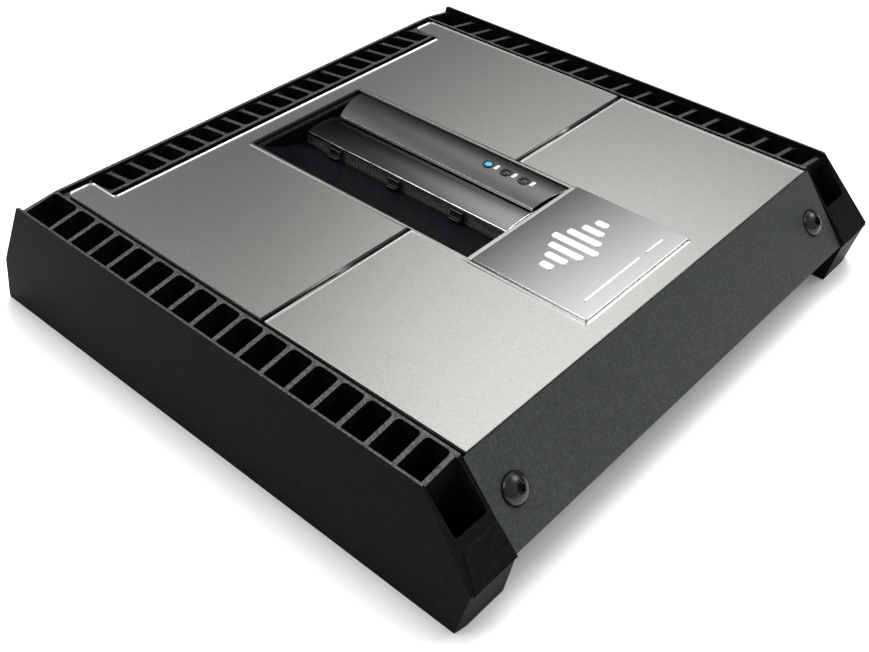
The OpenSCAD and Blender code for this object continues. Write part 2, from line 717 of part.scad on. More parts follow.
// Hub cup with a spindle and seven pitched blades
module rotor_at(y) {
    tip_r = fan_bore - 0.8;
    translate([fan_x, y, fan_z0]) {
        difference() {
            union() {
                translate([0, 0, 2.8]) cylinder(r = 9.5, h = fan_t - 4);
                intersection() {
                    for (i = [0:6]) rotate([0, 0, i * 360 / 7]) translate([8.5, 0, 8.2])
                        rotate([38, 0, 0]) translate([0, -6.5, -0.5])
                            cube([tip_r, 13, 1]);
                    translate([0, 0, 3.2]) cylinder(r = tip_r, h = fan_t - 4.6);
                }
            }
            translate([0, 0, 2]) cylinder(r = 8.3, h = fan_t - 4.4);
        }
        translate([0, 0, 1.6]) cylinder(r = 1.5, h = fan_t - 3);
    }
}

module front_fan_rotor() color([0.16, 0.16, 0.17]) rotor_at(fan_ys[0]);

module rear_fan_rotor() color([0.16, 0.16, 0.17]) rotor_at(fan_ys[1]);

module fan_screws() color(screw_steel)
    for (y = fan_ys, dx = [-fan_hole, fan_hole], dy = [-fan_hole, fan_hole])
        screw_up(fan_x + dx, y + dy, fan_z0, tray_floor - 0.6, fan_screw_r - run_clear);

// ---- Trim cover ----

module trim_cover() color(trim_grey) difference() {
    along_x(-trim_x, trim_x)
        polygon([trim_top, trim_point(trim_l, 0), trim_point(trim_l, trim_t) + [0, -0.2],
                 trim_point(trim_l, trim_t) + [7, -0.2], trim_point(trim_l, trim_t) + [7, 1.6],
                 trim_point(trim_l, trim_t) + [1.28, 1.6],
                 [trim_top[0], trim_top[1] - trim_t / sin(trim_tilt)]]);
    both_sides() on_trim(trim_screw_x, trim_screw_s) {
        translate([0, 0, -trim_t - over]) cylinder(r = trim_screw_d / 2 + hole_clear, h = 2 * trim_t);
        translate([0, 0, -0.8]) cylinder(r = screw_head_r + 0.4, h = 2);
    }
}

// Button-head screw with a hexagon socket
module trim_screws() color([0.13, 0.13, 0.13]) both_sides() on_trim(trim_screw_x, trim_screw_s)
    difference() {
        union() {
            translate([0, 0, -0.75]) rotate_extrude()
                polygon(concat([[0, 0], [screw_head_r, 0], [screw_head_r, 0.5]],
                               [for (k = [1:7]) [screw_head_r * cos(k * 9.5),
                                                 0.5 + screw_head_h * sin(k * 9.5)]],
                               [[0, 0.5 + screw_head_h * sin(66.5)]]));
            translate([0, 0, -19]) cylinder(r = trim_screw_d / 2 - run_clear, h = 18.5);
        }
        translate([0, 0, screw_head_h * 0.3])
            cylinder(r = trim_screw_d * 0.36, h = screw_head_h, $fn = 6);
    }

// Wedge blocks between the terminal panel and the trim cover
module trim_brackets() color([0.35, 0.35, 0.36]) both_sides() difference() {
    depth = trim_t + seat_clear;
    along_x(trim_screw_x - bracket_w / 2, trim_screw_x + bracket_w / 2)
        polygon([trim_point(10, depth), trim_point(36, depth), [panel_y0, trim_point(42, 0)[1]],
                 [panel_y0, trim_point(10, depth)[1]]]);
    on_trim(trim_screw_x, trim_screw_s) translate([0, 0, -21])
        cylinder(r = trim_screw_d / 2, h = 21);
    for (z = bracket_screw_zs())
        bar_y(panel_y0 - 12, panel_y0 + over, trim_screw_x, z, stud_r);
}

function bracket_screw_zs() = [control_z - 6, control_z + 4];

module bracket_screws() color(screw_steel) both_sides() for (z = bracket_screw_zs()) {
    bar_y(panel_y1, panel_y1 + 2, trim_screw_x, z, stud_r * 1.8);
    bar_y(panel_y0 - 11, panel_y1 + 0.01, trim_screw_x, z, stud_r - run_clear);
}

// ---- Terminal panel and connections ----

module terminal_panel() color([0.16, 0.16, 0.17]) difference() {
    block([-wall_in + part_clear, panel_y0, base_z1], [wall_in - part_clear, panel_y1, shelf_z1 - 0.2]);
    for (x = knob_xs) bar_y(panel_y0 - over, panel_y1 + over, x, control_z, shaft_r + 0.6);
    for (x = switch_xs)
        block([x - 5.2, panel_y0 - over, control_z - 2.5], [x + 5.2, panel_y1 + over, control_z + 2.5]);
    for (x = jack_xs) bar_y(panel_y0 - over, panel_y1 + over, x, jack_z, jack_r + 1);
    block([phone_x - 6, panel_y0 - over, board_z1 - 0.4],
          [phone_x + 6, panel_y1 + over, board_z1 + 12.4]);
    both_sides() for (z = bracket_screw_zs())
        bar_y(panel_y0 - over, panel_y1 + over, trim_screw_x, z, stud_r + hole_clear);
    both_sides() for (z = panel_screw_zs)
        bar_y(panel_y0 - over, panel_y1 + over, panel_screw_x, z, panel_screw_r + hole_clear);
}

module panel_screws() color(screw_steel) both_sides() for (z = panel_screw_zs) {
    bar_y(panel_y0 - 1.4, panel_y0, panel_screw_x, z, panel_screw_r * 1.7);
    bar_y(panel_y0 - 0.01, panel_y1 + 6.5, panel_screw_x, z, panel_screw_r - run_clear);
}

// Row of clamp terminals between the given edges, each with a wire bore in its front and a
// set-screw hole in its top
module wire_block(edges, depth, h, xs, rs, z, screw_back) {
    y0 = panel_y0 - depth;
    for (i = [0:len(xs) - 1]) difference() {
        block([edges[i] + cell_gap / 2, y0, base_z1 + 0.1],
              [edges[i + 1] - cell_gap / 2, panel_y0 - 0.1, base_z1 + h]);
        bar_y(y0 - over, panel_y0 - 3, xs[i], z, rs[i]);
        bar_z(z, base_z1 + h + over, xs[i], panel_y0 - screw_back, rs[i] * 0.8 + 0.6);
    }
}

// Headless screws with a hexagon socket, flush with the block's top
module set_screws(h, xs, rs, z, screw_back) for (i = [0:len(xs) - 1]) {
    r = rs[i] * 0.8 + 0.6 - run_clear;
    difference() {
        bar_z(z + rs[i] + 0.4, base_z1 + h - 0.3, xs[i], panel_y0 - screw_back, r);
        translate([xs[i], panel_y0 - screw_back, base_z1 + h - 2.5])
            cylinder(r = r * 0.55, h = 4, $fn = 6);
    }
}

function power_wire_xs() = concat(power_xs, [remote_wire_x]);
function power_wire_rs() = [power_bore_r, power_bore_r, 1.6];
function speaker_wire_xs() = [for (k = [0:3]) speaker_x + (k - 1.5) * speaker_pitch];
function speaker_wire_rs() = [for (k = [0:3]) speaker_bore_r];

module power_block() color([0.14, 0.14, 0.15])
    wire_block(power_edges, power_depth, power_h, power_wire_xs(), power_wire_rs(), power_z, 10);

module power_set_screws() color(screw_steel)
    set_screws(power_h, power_wire_xs(), power_wire_rs(), power_z, 10);

module speaker_block() color([0.14, 0.14, 0.15])
    wire_block([for (k = [-2:2]) speaker_x + k * speaker_pitch], speaker_depth, speaker_h,
               speaker_wire_xs(), speaker_wire_rs(), speaker_z, 8);

module speaker_set_screws() color(screw_steel)
    set_screws(speaker_h, speaker_wire_xs(), speaker_wire_rs(), speaker_z, 8);

module rca_block() color([0.1, 0.1, 0.1]) difference() {
    block([jack_xs[0] - 8, panel_y1 + 0.1, board_z1], [jack_xs[3] + 8, panel_y1 + 13, jack_z + 6]);
    for (x = jack_xs) bar_y(panel_y1 - over, panel_y1 + 6, x, jack_z, 1.6);
}

// Barrel with a flange that seats on the panel
module rca_jacks() color([0.8, 0.68, 0.3]) for (x = jack_xs) difference() {
    union() {
        bar_y(panel_y0 - jack_l, panel_y0 - 1, x, jack_z, jack_r);
        bar_y(panel_y0 - 1.2, panel_y0, x, jack_z, jack_r + 1.8);
        bar_y(panel_y0 - 0.2, panel_y1 + 0.1, x, jack_z, jack_r + 0.7);
    }
    bar_y(panel_y0 - jack_l - over, panel_y1 + over, x, jack_z, jack_r - 0.75);
}

module rca_insulators() color([0.9, 0.9, 0.88]) for (x = jack_xs) difference() {
    bar_y(panel_y0 - jack_l + 0.5, panel_y1 + 0.1, x, jack_z, jack_r - 0.8);
    bar_y(panel_y0 - jack_l - over, panel_y1 + over, x, jack_z, 1.6);
}

module remote_jack() color([0.1, 0.1, 0.1]) difference() {
    block([phone_x - 5.7, panel_y0 - 1, board_z1], [phone_x + 5.7, panel_y1 + 12, board_z1 + 12]);
    block([phone_x - 4.8, panel_y0 - 2, board_z1 + 2], [phone_x + 4.8, panel_y1 + 8, board_z1 + 8.8]);
    block([phone_x - 2, panel_y0 - 2, board_z1 + 8], [phone_x + 2, panel_y1 + 8, board_z1 + 10.4]);
}

// ---- Controls ----

module control_board() color(board_green)
    block([switch_xs[1] - 12, control_y0, control_z - 11], [knob_xs[3] + 12, control_y1, control_z + 9]);

module potentiometers() color([0.2, 0.25, 0.45]) for (x = knob_xs) difference() {
    block([x - 6, panel_y1 + 0.1, control_z - 6], [x + 6, control_y0, control_z + 6]);
    bar_y(panel_y1 - over, control_y0 - 1.5, x, control_z, shaft_r + run_clear);
}

// Fluted cap with a pointer groove, on its shaft
module knob_at(x) difference() {
    union() {
        bar_y(panel_y0 - 12, panel_y0 - 1, x, control_z, knob_r);
        bar_y(panel_y0 - 1.5, control_y0 - 1.8, x, control_z, shaft_r);
    }
    for (a = [22.5:45:360])
        bar_y(panel_y0 - 13, panel_y0 - 3, x + (knob_r + 0.5) * sin(a), control_z + (knob_r + 0.5) * cos(a), 1);
    block([x - 0.5, panel_y0 - 13, control_z + 1], [x + 0.5, panel_y0 - 11.4, control_z + knob_r + 1]);
}

module gain_knob_a() color([0.12, 0.12, 0.12]) knob_at(knob_xs[0]);

module gain_knob_b() color([0.12, 0.12, 0.12]) knob_at(knob_xs[1]);

module crossover_knob() color([0.12, 0.12, 0.12]) knob_at(knob_xs[2]);

module bass_knob() color([0.12, 0.12, 0.12]) knob_at(knob_xs[3]);

module switch_bodies() color([0.3, 0.3, 0.32]) for (x = switch_xs) difference() {
    block([x - 8, panel_y1 + 0.1, control_z - 4], [x + 8, control_y0, control_z + 4]);
    block([x - 5, panel_y1 - over, control_z - 1.8], [x + 5, panel_y1 + 4, control_z + 1.8]);
}

// Slide lever with three grip ridges
module lever_at(x) {
    block([x - 1.6, panel_y0 - 4, control_z - 1.6], [x + 1.6, panel_y1 + 3.8, control_z + 1.6]);
    for (d = [-1.2, 0, 1.2])
        block([x + d - 0.25, panel_y0 - 4.5, control_z - 1.6], [x + d + 0.25, panel_y0 - 3.9, control_z + 1.6]);
}

module crossover_switch() color([0.85, 0.85, 0.85]) lever_at(switch_xs[0]);

module input_switch() color([0.85, 0.85, 0.85]) lever_at(switch_xs[1] - 2);

// ---- Electronics ----

module main_board() color(board_green) difference() {
    along_z(board_z0, board_z1) pane(-board_x, board_x, board_y0, board_y1, 2);
    for (x = standoff_xs, y = standoff_ys)
        bar_z(board_z0 - over, board_z1 + over, x, y, 1.5 + hole_clear);
}

module board_standoffs() color([0.8, 0.68, 0.3]) for (x = standoff_xs, y = standoff_ys)
    difference() {
        translate([x, y, base_z1]) cylinder(r = 3.4, h = standoff_h, $fn = 6);
        bar_z(base_z1 - over, board_z0 + over, x, y, 1.5);
    }

// One screw from above through the board and one from below through the base plate
module board_screws() color(screw_steel) for (x = standoff_xs, y = standoff_ys) {
    bar_z(board_z1, board_z1 + 1.8, x, y, 2.8);
    bar_z(base_z1 + standoff_h * 0.55, board_z1 + 0.01, x, y, 1.5 - run_clear);
    bar_z(base_z0 - 1.4, base_z0, x, y, 2.8);
    bar_z(base_z0 - 0.01, base_z1 + standoff_h * 0.45, x, y, 1.5 - run_clear);
}

// Ring of a wound core, standing on the board
module ring(x, y, outer, inner, h) translate([x, y, board_z1]) rotate_extrude()
    pane(inner, outer, 0, h, (outer - inner) * 0.22, 5);

module power_transformers() color([0.72, 0.42, 0.16]) both_sides()
    ring(toroid_x, toroid_y, toroid_r, 9, toroid_h);

module transformer_clamps() color([0.3, 0.3, 0.31]) both_sides() {
    bar_z(board_z1 + toroid_h, board_z1 + toroid_h + 1.5, toroid_x, toroid_y, toroid_r * 0.6);
    bar_z(board_z1, board_z1 + toroid_h + 4, toroid_x, toroid_y, 3);
}

module output_chokes() color([0.72, 0.42, 0.16]) both_sides() ring(choke_x, choke_y, 13, 5.5, 12);

module capacitor(x, y, r, h) translate([x, y, board_z1]) rotate_extrude()
    polygon([[0, 0], [r, 0], [r, 2.5], [r - 0.5, 3], [r, 3.5], [r, h - 0.8], [r - 0.8, h],
             [r - 1.6, h - 0.5], [0, h - 0.5]]);

module rail_capacitors() color([0.12, 0.14, 0.3]) both_sides()
    for (x = rail_cap_xs, y = rail_cap_ys) capacitor(x, y, rail_cap_r, rail_cap_h);

module input_capacitors() color([0.12, 0.14, 0.3]) both_sides()
    for (y = input_cap_ys) capacitor(input_cap_x, y, 8, 30);

function transistor_ys() = [for (k = [0:transistor_n - 1])
    spread_mid_y + (k - (transistor_n - 1) / 2) * transistor_pitch];

module power_transistors() {
    face = spreader_in - pad_t;
    color([0.1, 0.1, 0.1]) both_sides() for (y = transistor_ys()) {
        block([face - transistor_d, y - transistor_w / 2, transistor_z[0]],
              [face, y + transistor_w / 2, transistor_z[1]]);
        for (d = [-5, 0, 5])
            block([face - 3, y + d - 0.6, board_z1], [face - 2.2, y + d + 0.6, transistor_z[0] + 0.5]);
    }
}

module thermal_pads() color([0.75, 0.75, 0.78]) both_sides() for (y = transistor_ys())
    block([spreader_in - pad_t, y - transistor_w / 2 - 0.3, transistor_z[0] - 1],
          [spreader_in, y + transistor_w / 2 + 0.3, transistor_z[1] + 1]);

module clamp_bars() {
    face = spreader_in - pad_t - transistor_d;
    color([0.6, 0.6, 0.6]) both_sides() difference() {
        block([face - bar_t, spread_mid_y - 96, bar_z - 6], [face, spread_mid_y + 96, bar_z + 6]);
        for (c = clamp_offsets)
            bar_x(face - bar_t - over, face + over, spread_mid_y + c, bar_z, stud_r + hole_clear);
    }
}

module clamp_screws() {
    head = spreader_in - pad_t - transistor_d - bar_t;
    color(screw_steel) both_sides() for (c = clamp_offsets) {
        bar_x(head - 2.2, head, spread_mid_y + c, bar_z, stud_r * 1.8);
        bar_x(head - 0.01, fin_in - 1.2, spread_mid_y + c, bar_z, stud_r - run_clear);
    }
}

module driver_chips() color([0.08, 0.08, 0.08])
    for (x = [-24, 24], y = [board_y0 + 20, board_y0 + 44, board_y0 + 68])
        block([x - 5, y - 8, board_z1], [x + 5, y + 8, board_z1 + 3]);

// ---- One line for each sub-part ----

left_casting();
right_casting();
rear_casting();
base_plate();
base_screws();
top_cover();
cover_nuts();
badge_plate();
badge_emblem();
vent_insert();
upper_blade();
lower_blade();
vent_mesh();
mesh_clips();
lens_bezels();
power_lens();
status_lenses();
led_board();
leds();
fan_housings();
front_fan_rotor();
rear_fan_rotor();
fan_screws();
trim_cover();
trim_screws();
trim_brackets();
bracket_screws();
terminal_panel();
panel_screws();
power_block();
power_set_screws();
speaker_block();
speaker_set_screws();
rca_block();
rca_jacks();
rca_insulators();
remote_jack();
control_board();
potentiometers();
gain_knob_a();
gain_knob_b();
crossover_knob();
bass_knob();
switch_bodies();
crossover_switch();
input_switch();
main_board();
board_standoffs();
board_screws();
power_transformers();
transformer_clamps();
rail_capacitors();
input_capacitors();
output_chokes();
power_transistors();
thermal_pads();
clamp_bars();
clamp_screws();
driver_chips();
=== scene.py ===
"""Looks of a car amplifier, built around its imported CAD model. All lengths are in metres."""

import json
import math

import bmesh
import bpy
from mathutils import Euler, Matrix, Vector

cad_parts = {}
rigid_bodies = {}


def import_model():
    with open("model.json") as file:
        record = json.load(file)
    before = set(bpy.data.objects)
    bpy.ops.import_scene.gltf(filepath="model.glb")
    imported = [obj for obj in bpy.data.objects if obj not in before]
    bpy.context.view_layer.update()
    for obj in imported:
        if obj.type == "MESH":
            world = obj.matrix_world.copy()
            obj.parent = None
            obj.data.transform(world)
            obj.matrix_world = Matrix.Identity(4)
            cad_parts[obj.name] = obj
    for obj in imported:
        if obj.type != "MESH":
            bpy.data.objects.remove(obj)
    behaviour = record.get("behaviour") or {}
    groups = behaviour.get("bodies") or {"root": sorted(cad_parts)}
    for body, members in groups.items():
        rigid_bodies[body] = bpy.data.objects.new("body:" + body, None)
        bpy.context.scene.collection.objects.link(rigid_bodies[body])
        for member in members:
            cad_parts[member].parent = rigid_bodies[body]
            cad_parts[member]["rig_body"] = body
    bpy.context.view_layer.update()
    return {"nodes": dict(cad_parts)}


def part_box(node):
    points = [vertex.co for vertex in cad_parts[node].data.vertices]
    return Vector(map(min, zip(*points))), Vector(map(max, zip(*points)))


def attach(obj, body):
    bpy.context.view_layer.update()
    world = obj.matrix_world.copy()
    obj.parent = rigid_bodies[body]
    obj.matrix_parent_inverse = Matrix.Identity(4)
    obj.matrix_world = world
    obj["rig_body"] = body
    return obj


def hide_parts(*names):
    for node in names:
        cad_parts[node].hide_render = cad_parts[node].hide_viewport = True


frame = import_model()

bl_info = {
    "name": "Car Amplifier",
    "version": (1, 0, 0),
    "blender": (4, 5, 0),
    "location": "3D View > Sidebar > Amplifier",
    "description": "Builds a finned car amplifier with its vent, terminals and studio",
    "category": "Add Mesh",
}

CAD = frame["nodes"]
MM = 0.001
MERGE_DISTANCE = 2e-6
FLAT_ANGLE = math.radians(0.3)
LIP_STEPS = ((0.4, 0.5), (0.6, 0.15))
DUST_GREY = (0.5, 0.49, 0.47, 1)
SHADOW_BLACK = (0.006, 0.006, 0.0065, 1)
LENS_HEART = (0.09, 0.46, 0.8, 1)


# ---------------------------------------------------------------- settings


class AmplifierSizes(bpy.types.PropertyGroup):
    """Sizes that shape the visible pieces."""

    casting_edge: bpy.props.FloatProperty(
        name="Casting edge", description="Most that the castings' edges are rounded",
        default=0.45 * MM, min=0.1 * MM, max=1 * MM, subtype="DISTANCE", unit="LENGTH")
    cover_lip: bpy.props.FloatProperty(
        name="Cover lip", description="Width of the lip round the top cover's face",
        default=1.0 * MM, min=0.1 * MM, max=1.2 * MM, subtype="DISTANCE", unit="LENGTH")
    sheet_edge: bpy.props.FloatProperty(
        name="Sheet edge", description="Most that plates, blades and panels are rounded",
        default=0.3 * MM, min=0.05 * MM, max=0.6 * MM, subtype="DISTANCE", unit="LENGTH")
    small_edge: bpy.props.FloatProperty(
        name="Small edge", description="Most that knobs, jacks and blocks are rounded",
        default=0.2 * MM, min=0.05 * MM, max=0.4 * MM, subtype="DISTANCE", unit="LENGTH")
    wire_radius: bpy.props.FloatProperty(
        name="Mesh wire", description="Radius of a wire in the vent mesh",
        default=0.16 * MM, min=0.05 * MM, max=0.3 * MM, subtype="DISTANCE", unit="LENGTH")
    wire_pitch: bpy.props.FloatProperty(
        name="Mesh pitch", description="Distance between two wires of the vent mesh",
        default=1.15 * MM, min=0.6 * MM, max=2 * MM, subtype="DISTANCE", unit="LENGTH")
    view_azimuth: bpy.props.FloatProperty(
        name="View azimuth", description="Turn of the camera round the amplifier",
        default=math.radians(-48.967), subtype="ANGLE", unit="ROTATION")
    view_elevation: bpy.props.FloatProperty(
        name="View elevation", description="Tilt of the camera above the horizon",
        default=math.radians(40.096), subtype="ANGLE", unit="ROTATION")
    view_roll: bpy.props.FloatProperty(
        name="View roll", description="Roll of the camera about its line of sight",
        default=math.radians(1.024), subtype="ANGLE", unit="ROTATION")
    view_lens: bpy.props.FloatProperty(
        name="Lens", description="Focal length of the camera, in millimetres",
        default=46.1, min=20, max=120)


def colour(label, rgb):
    """Colour property with its own label."""
    return bpy.props.FloatVectorProperty(
        name=label, description=label + " colour", size=3, default=rgb, min=0, max=1,
        subtype="COLOR")


class AmplifierColours(bpy.types.PropertyGroup):
    """Base colours of the finishes, in linear light."""

    casting: colour("Powder coat", (0.0048, 0.0054, 0.0057))
    crown: colour("Fin crowns", (0.14, 0.144, 0.144))
    cover: colour("Blasted aluminium", (0.62, 0.61, 0.585))
    badge: colour("Badge plate", (0.6, 0.6, 0.605))
    emblem: colour("Emblem", (0.86, 0.86, 0.86))
    trim: colour("Anodised trim", (0.034, 0.038, 0.0372))
    gloss: colour("Gloss black", (0.003, 0.0032, 0.0042))
    blade: colour("Smoked blade", (0.2, 0.196, 0.19))
    moulded: colour("Moulded black", (0.014, 0.014, 0.015))
    steel: colour("Zinc plate", (0.52, 0.52, 0.54))
    black_steel: colour("Black oxide", (0.009, 0.0095, 0.01))
    gold: colour("Gold plate", (0.83, 0.62, 0.25))
    board: colour("Solder mask", (0.01, 0.09, 0.035))
    copper: colour("Enamelled wire", (0.48, 0.16, 0.05))
    sleeve: colour("Capacitor sleeve", (0.012, 0.018, 0.07))
    ink: colour("Printed marks", (0.8, 0.8, 0.78))
    light: colour("Lit status light", (0.01, 0.12, 0.5))
    floor: colour("Floor", (0.93, 0.93, 0.93))


def sizes():
    """Sizes set on the scene."""
    return bpy.context.scene.amplifier_sizes


def colours():
    """Colours set on the scene."""
    return bpy.context.scene.amplifier_colours


# ---------------------------------------------------------------- shader parts


def put(tree, kind, inputs=None, **settings):
    """Adds a node, sets its options, then fills its sockets with values or links."""
    node = tree.nodes.new(kind)
    for key, value in settings.items():
        setattr(node, key, value)
    for key, value in (inputs or {}).items():
        socket = node.inputs[key]
        if isinstance(value, bpy.types.NodeSocket):
            tree.links.new(value, socket)
        else:
            socket.default_value = value
    return node


def mixed(tree, factor, first, second):
    """Colour between first and second."""
    node = put(tree, "ShaderNodeMix", {0: factor, 6: first, 7: second}, data_type="RGBA")
    return node.outputs[2]


def remap(tree, value, low, high, new_low, new_high):
    """Value taken from one range to another, and held inside it."""
    node = put(tree, "ShaderNodeMapRange", {
        "Value": value, "From Min": low, "From Max": high,
        "To Min": new_low, "To Max": new_high})
    return node.outputs["Result"]


def arithmetic(tree, operation, first, second):
    """Sum, product or other operation on two values."""
    return put(tree, "ShaderNodeMath", {0: first, 1: second}, operation=operation).outputs[0]


def new_group(name, inputs, outputs):
    """Empty shader group with named sockets; returns it with its two end nodes."""
    group = bpy.data.node_groups.new(name, "ShaderNodeTree")
    for label, value in inputs.items():
        item = group.interface.new_socket(name=label, in_out="INPUT",
                                          socket_type="NodeSocketFloat")
        item.default_value = value
    for label in outputs:
        group.interface.new_socket(name=label, in_out="OUTPUT", socket_type="NodeSocketFloat")
    return group, group.nodes.new("NodeGroupInput"), group.nodes.new("NodeGroupOutput")


def grain_group():
    """Fine grain: a height for bump, a speckle for colour and a slow patchiness for gloss."""
    name = "Surface Grain"
    if name in bpy.data.node_groups:
        return bpy.data.node_groups[name]
    group, given, made = new_group(name, {"Scale": 1500.0, "Stretch": 1.0},
                                   ["Height", "Speckle", "Patch"])
    place = put(group, "ShaderNodeTexCoord").outputs["Object"]
    stretch = put(group, "ShaderNodeCombineXYZ",
                  {"X": given.outputs["Stretch"], "Y": 1.0, "Z": 1.0})
    spread = put(group, "ShaderNodeVectorMath", {0: place, 1: stretch.outputs[0]},
                 operation="MULTIPLY").outputs[0]
    fine = put(group, "ShaderNodeTexNoise", {
        "Vector": spread, "Scale": given.outputs["Scale"], "Detail": 3.0, "Roughness": 0.65})
    coarse_scale = arithmetic(group, "MULTIPLY", given.outputs["Scale"], 0.37)
    coarse = put(group, "ShaderNodeTexNoise", {
        "Vector": spread, "Scale": coarse_scale, "Detail": 1.0})
    slow = put(group, "ShaderNodeTexNoise", {"Vector": place, "Scale": 14.0, "Detail": 1.0})
    group.links.new(fine.outputs["Fac"], made.inputs["Height"])
    speckle = remap(group, coarse.outputs["Fac"], 0.3, 0.7, 0.0, 1.0)
    group.links.new(speckle, made.inputs["Speckle"])
    patch = remap(group, slow.outputs["Fac"], 0.0, 1.0, 0.0, 1.0)
    group.links.new(patch, made.inputs["Patch"])
    return group


def wear_and_highlight_group():
    """Mask of the rounded edges, broken up by noise, where a coat polishes thin; the lighter colour
    it brings is partly a painted highlight on the edges.
    """
    name = "Edge Wear"
    if name in bpy.data.node_groups:
        return bpy.data.node_groups[name]
    group, given, made = new_group(name, {"Amount": 0.5}, ["Mask"])
    edge = put(group, "ShaderNodeAttribute", attribute_name="edge").outputs["Fac"]
    place = put(group, "ShaderNodeTexCoord").outputs["Object"]
    breaks = put(group, "ShaderNodeTexNoise", {"Vector": place, "Scale": 160.0, "Detail": 4.0})
    share = remap(group, breaks.outputs["Fac"], 0.35, 0.6, 0.35, 1.0)
    mask = arithmetic(group, "MULTIPLY", edge, share)
    mask = arithmetic(group, "MULTIPLY", mask, given.outputs["Amount"])
    group.links.new(mask, made.inputs["Mask"])
    return group


def crown_group():
    """Mask of what faces up above a height, such as fin crowns and rims."""
    name = "Upward Crowns"
    if name in bpy.data.node_groups:
        return bpy.data.node_groups[name]
    group, given, made = new_group(name, {"Height": 0.052}, ["Mask"])
    place = put(group, "ShaderNodeTexCoord")
    height = put(group, "ShaderNodeSeparateXYZ", {0: place.outputs["Object"]}).outputs["Z"]
    lift = put(group, "ShaderNodeSeparateXYZ", {0: place.outputs["Normal"]}).outputs["Z"]
    above = arithmetic(group, "GREATER_THAN", height, given.outputs["Height"])
    faces = remap(group, lift, 0.75, 0.95, 0.0, 1.0)
    group.links.new(arithmetic(group, "MULTIPLY", above, faces), made.inputs["Mask"])
    return group


def dust_group():
    """Mask of thin dust that settles on what faces up."""
    name = "Settled Dust"
    if name in bpy.data.node_groups:
        return bpy.data.node_groups[name]
    group, given, made = new_group(name, {"Amount": 0.1}, ["Mask"])
    place = put(group, "ShaderNodeTexCoord")
    lift = put(group, "ShaderNodeSeparateXYZ", {0: place.outputs["Normal"]}).outputs["Z"]
    drift = put(group, "ShaderNodeTexNoise",
                {"Vector": place.outputs["Object"], "Scale": 420.0, "Detail": 5.0})
    share = remap(group, drift.outputs["Fac"], 0.5, 0.75, 0.0, 1.0)
    faces = remap(group, lift, 0.2, 0.9, 0.0, 1.0)
    mask = arithmetic(group, "MULTIPLY", share, faces)
    mask = arithmetic(group, "MULTIPLY", mask, given.outputs["Amount"])
    group.links.new(mask, made.inputs["Mask"])
    return group


def painted_shade_group():
    """Painted shade that runs evenly along Y, from a front value to a rear value."""
    name = "Lengthwise Shade"
    if name in bpy.data.node_groups:
        return bpy.data.node_groups[name]
    group, given, made = new_group(
        name, {"Front Y": 0.0, "Rear Y": 0.1, "Front": 1.0, "Rear": 0.5}, ["Shade"])
    place = put(group, "ShaderNodeTexCoord").outputs["Object"]
    along = put(group, "ShaderNodeSeparateXYZ", {0: place}).outputs["Y"]
    shade = remap(group, along, given.outputs["Front Y"], given.outputs["Rear Y"],
                  given.outputs["Front"], given.outputs["Rear"])
    group.links.new(shade, made.inputs["Shade"])
    return group


def grouped(tree, group, **values):
    """A group's node with its own values."""
    node = tree.nodes.new("ShaderNodeGroup")
    node.node_tree = group
    for key, value in values.items():
        node.inputs[key].default_value = value
    return node


def rgba(rgb, gain=1.0):
    """Colour with an alpha of one, made lighter or darker."""
    return tuple(min(1.0, channel * gain) for channel in rgb) + (1.0,)


def blank(name):
    """New material with an empty tree, its shader and its output."""
    made = bpy.data.materials.new(name)
    made.use_nodes = True
    tree = made.node_tree
    tree.nodes.clear()
    shader = tree.nodes.new("ShaderNodeBsdfPrincipled")
    output = tree.nodes.new("ShaderNodeOutputMaterial")
    tree.links.new(shader.outputs[0], output.inputs["Surface"])
    made.diffuse_color = (0.5, 0.5, 0.5, 1)
    return made, tree, shader


def grained(name, rgb, rough, metallic=0.0, scale=1500.0, depth=0.00002, bump=0.3,
            contrast=0.12, edge_wear_highlight_gain=2.0, wear_highlight_amount=0.5, dust=0.05, specular=0.5, stretch=1.0,
            coat=0.0, patch=0.1):
    """Material with a base colour, fine grain, patchy gloss, edges lightened partly by wear and
    partly as a painted highlight, and thin dust.
    """
    if name in bpy.data.materials:
        return bpy.data.materials[name]
    made, tree, shader = blank(name)
    grain = grouped(tree, grain_group(), Scale=scale, Stretch=stretch)
    edges = grouped(tree, wear_and_highlight_group(), Amount=wear_highlight_amount)
    settled = grouped(tree, dust_group(), Amount=dust)
    base = mixed(tree, grain.outputs["Speckle"], rgba(rgb, 1 - contrast), rgba(rgb, 1 + contrast))
    # Rounded edges are lightened: partly wear, partly a painted highlight.
    base = mixed(tree, edges.outputs["Mask"], base, rgba(rgb, edge_wear_highlight_gain))
    base = mixed(tree, settled.outputs["Mask"], base, DUST_GREY)
    tree.links.new(base, shader.inputs["Base Color"])
    gloss = remap(tree, grain.outputs["Patch"], 0, 1, rough * (1 - patch), rough * (1 + patch))
    tree.links.new(gloss, shader.inputs["Roughness"])
    relief = put(tree, "ShaderNodeBump", {
        "Strength": bump, "Distance": depth, "Height": grain.outputs["Height"]})
    tree.links.new(relief.outputs[0], shader.inputs["Normal"])
    shader.inputs["Metallic"].default_value = metallic
    shader.inputs["Specular IOR Level"].default_value = specular
    shader.inputs["Coat Weight"].default_value = coat
    shader.inputs["Coat Roughness"].default_value = 0.08
    return made


def painted_shade_along(made, node, front, rear):
    """Multiplies a finish's colour by a painted shade that runs along a node, from front to rear."""
    tree = made.node_tree
    shader = tree.nodes["Principled BSDF"]
    body = shader.inputs["Base Color"].links[0].from_socket
    low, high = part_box(node)
    shade = grouped(tree, painted_shade_group(), **{
        "Front Y": low[1], "Rear Y": high[1], "Front": front, "Rear": rear}).outputs["Shade"]
    grey = put(tree, "ShaderNodeCombineColor", {"Red": shade, "Green": shade, "Blue": shade})
    product = put(tree, "ShaderNodeMix", {0: 1.0, 6: body, 7: grey.outputs[0]},
                  data_type="RGBA", blend_type="MULTIPLY")
    tree.links.new(product.outputs[2], shader.inputs["Base Color"])


# ---------------------------------------------------------------- finishes


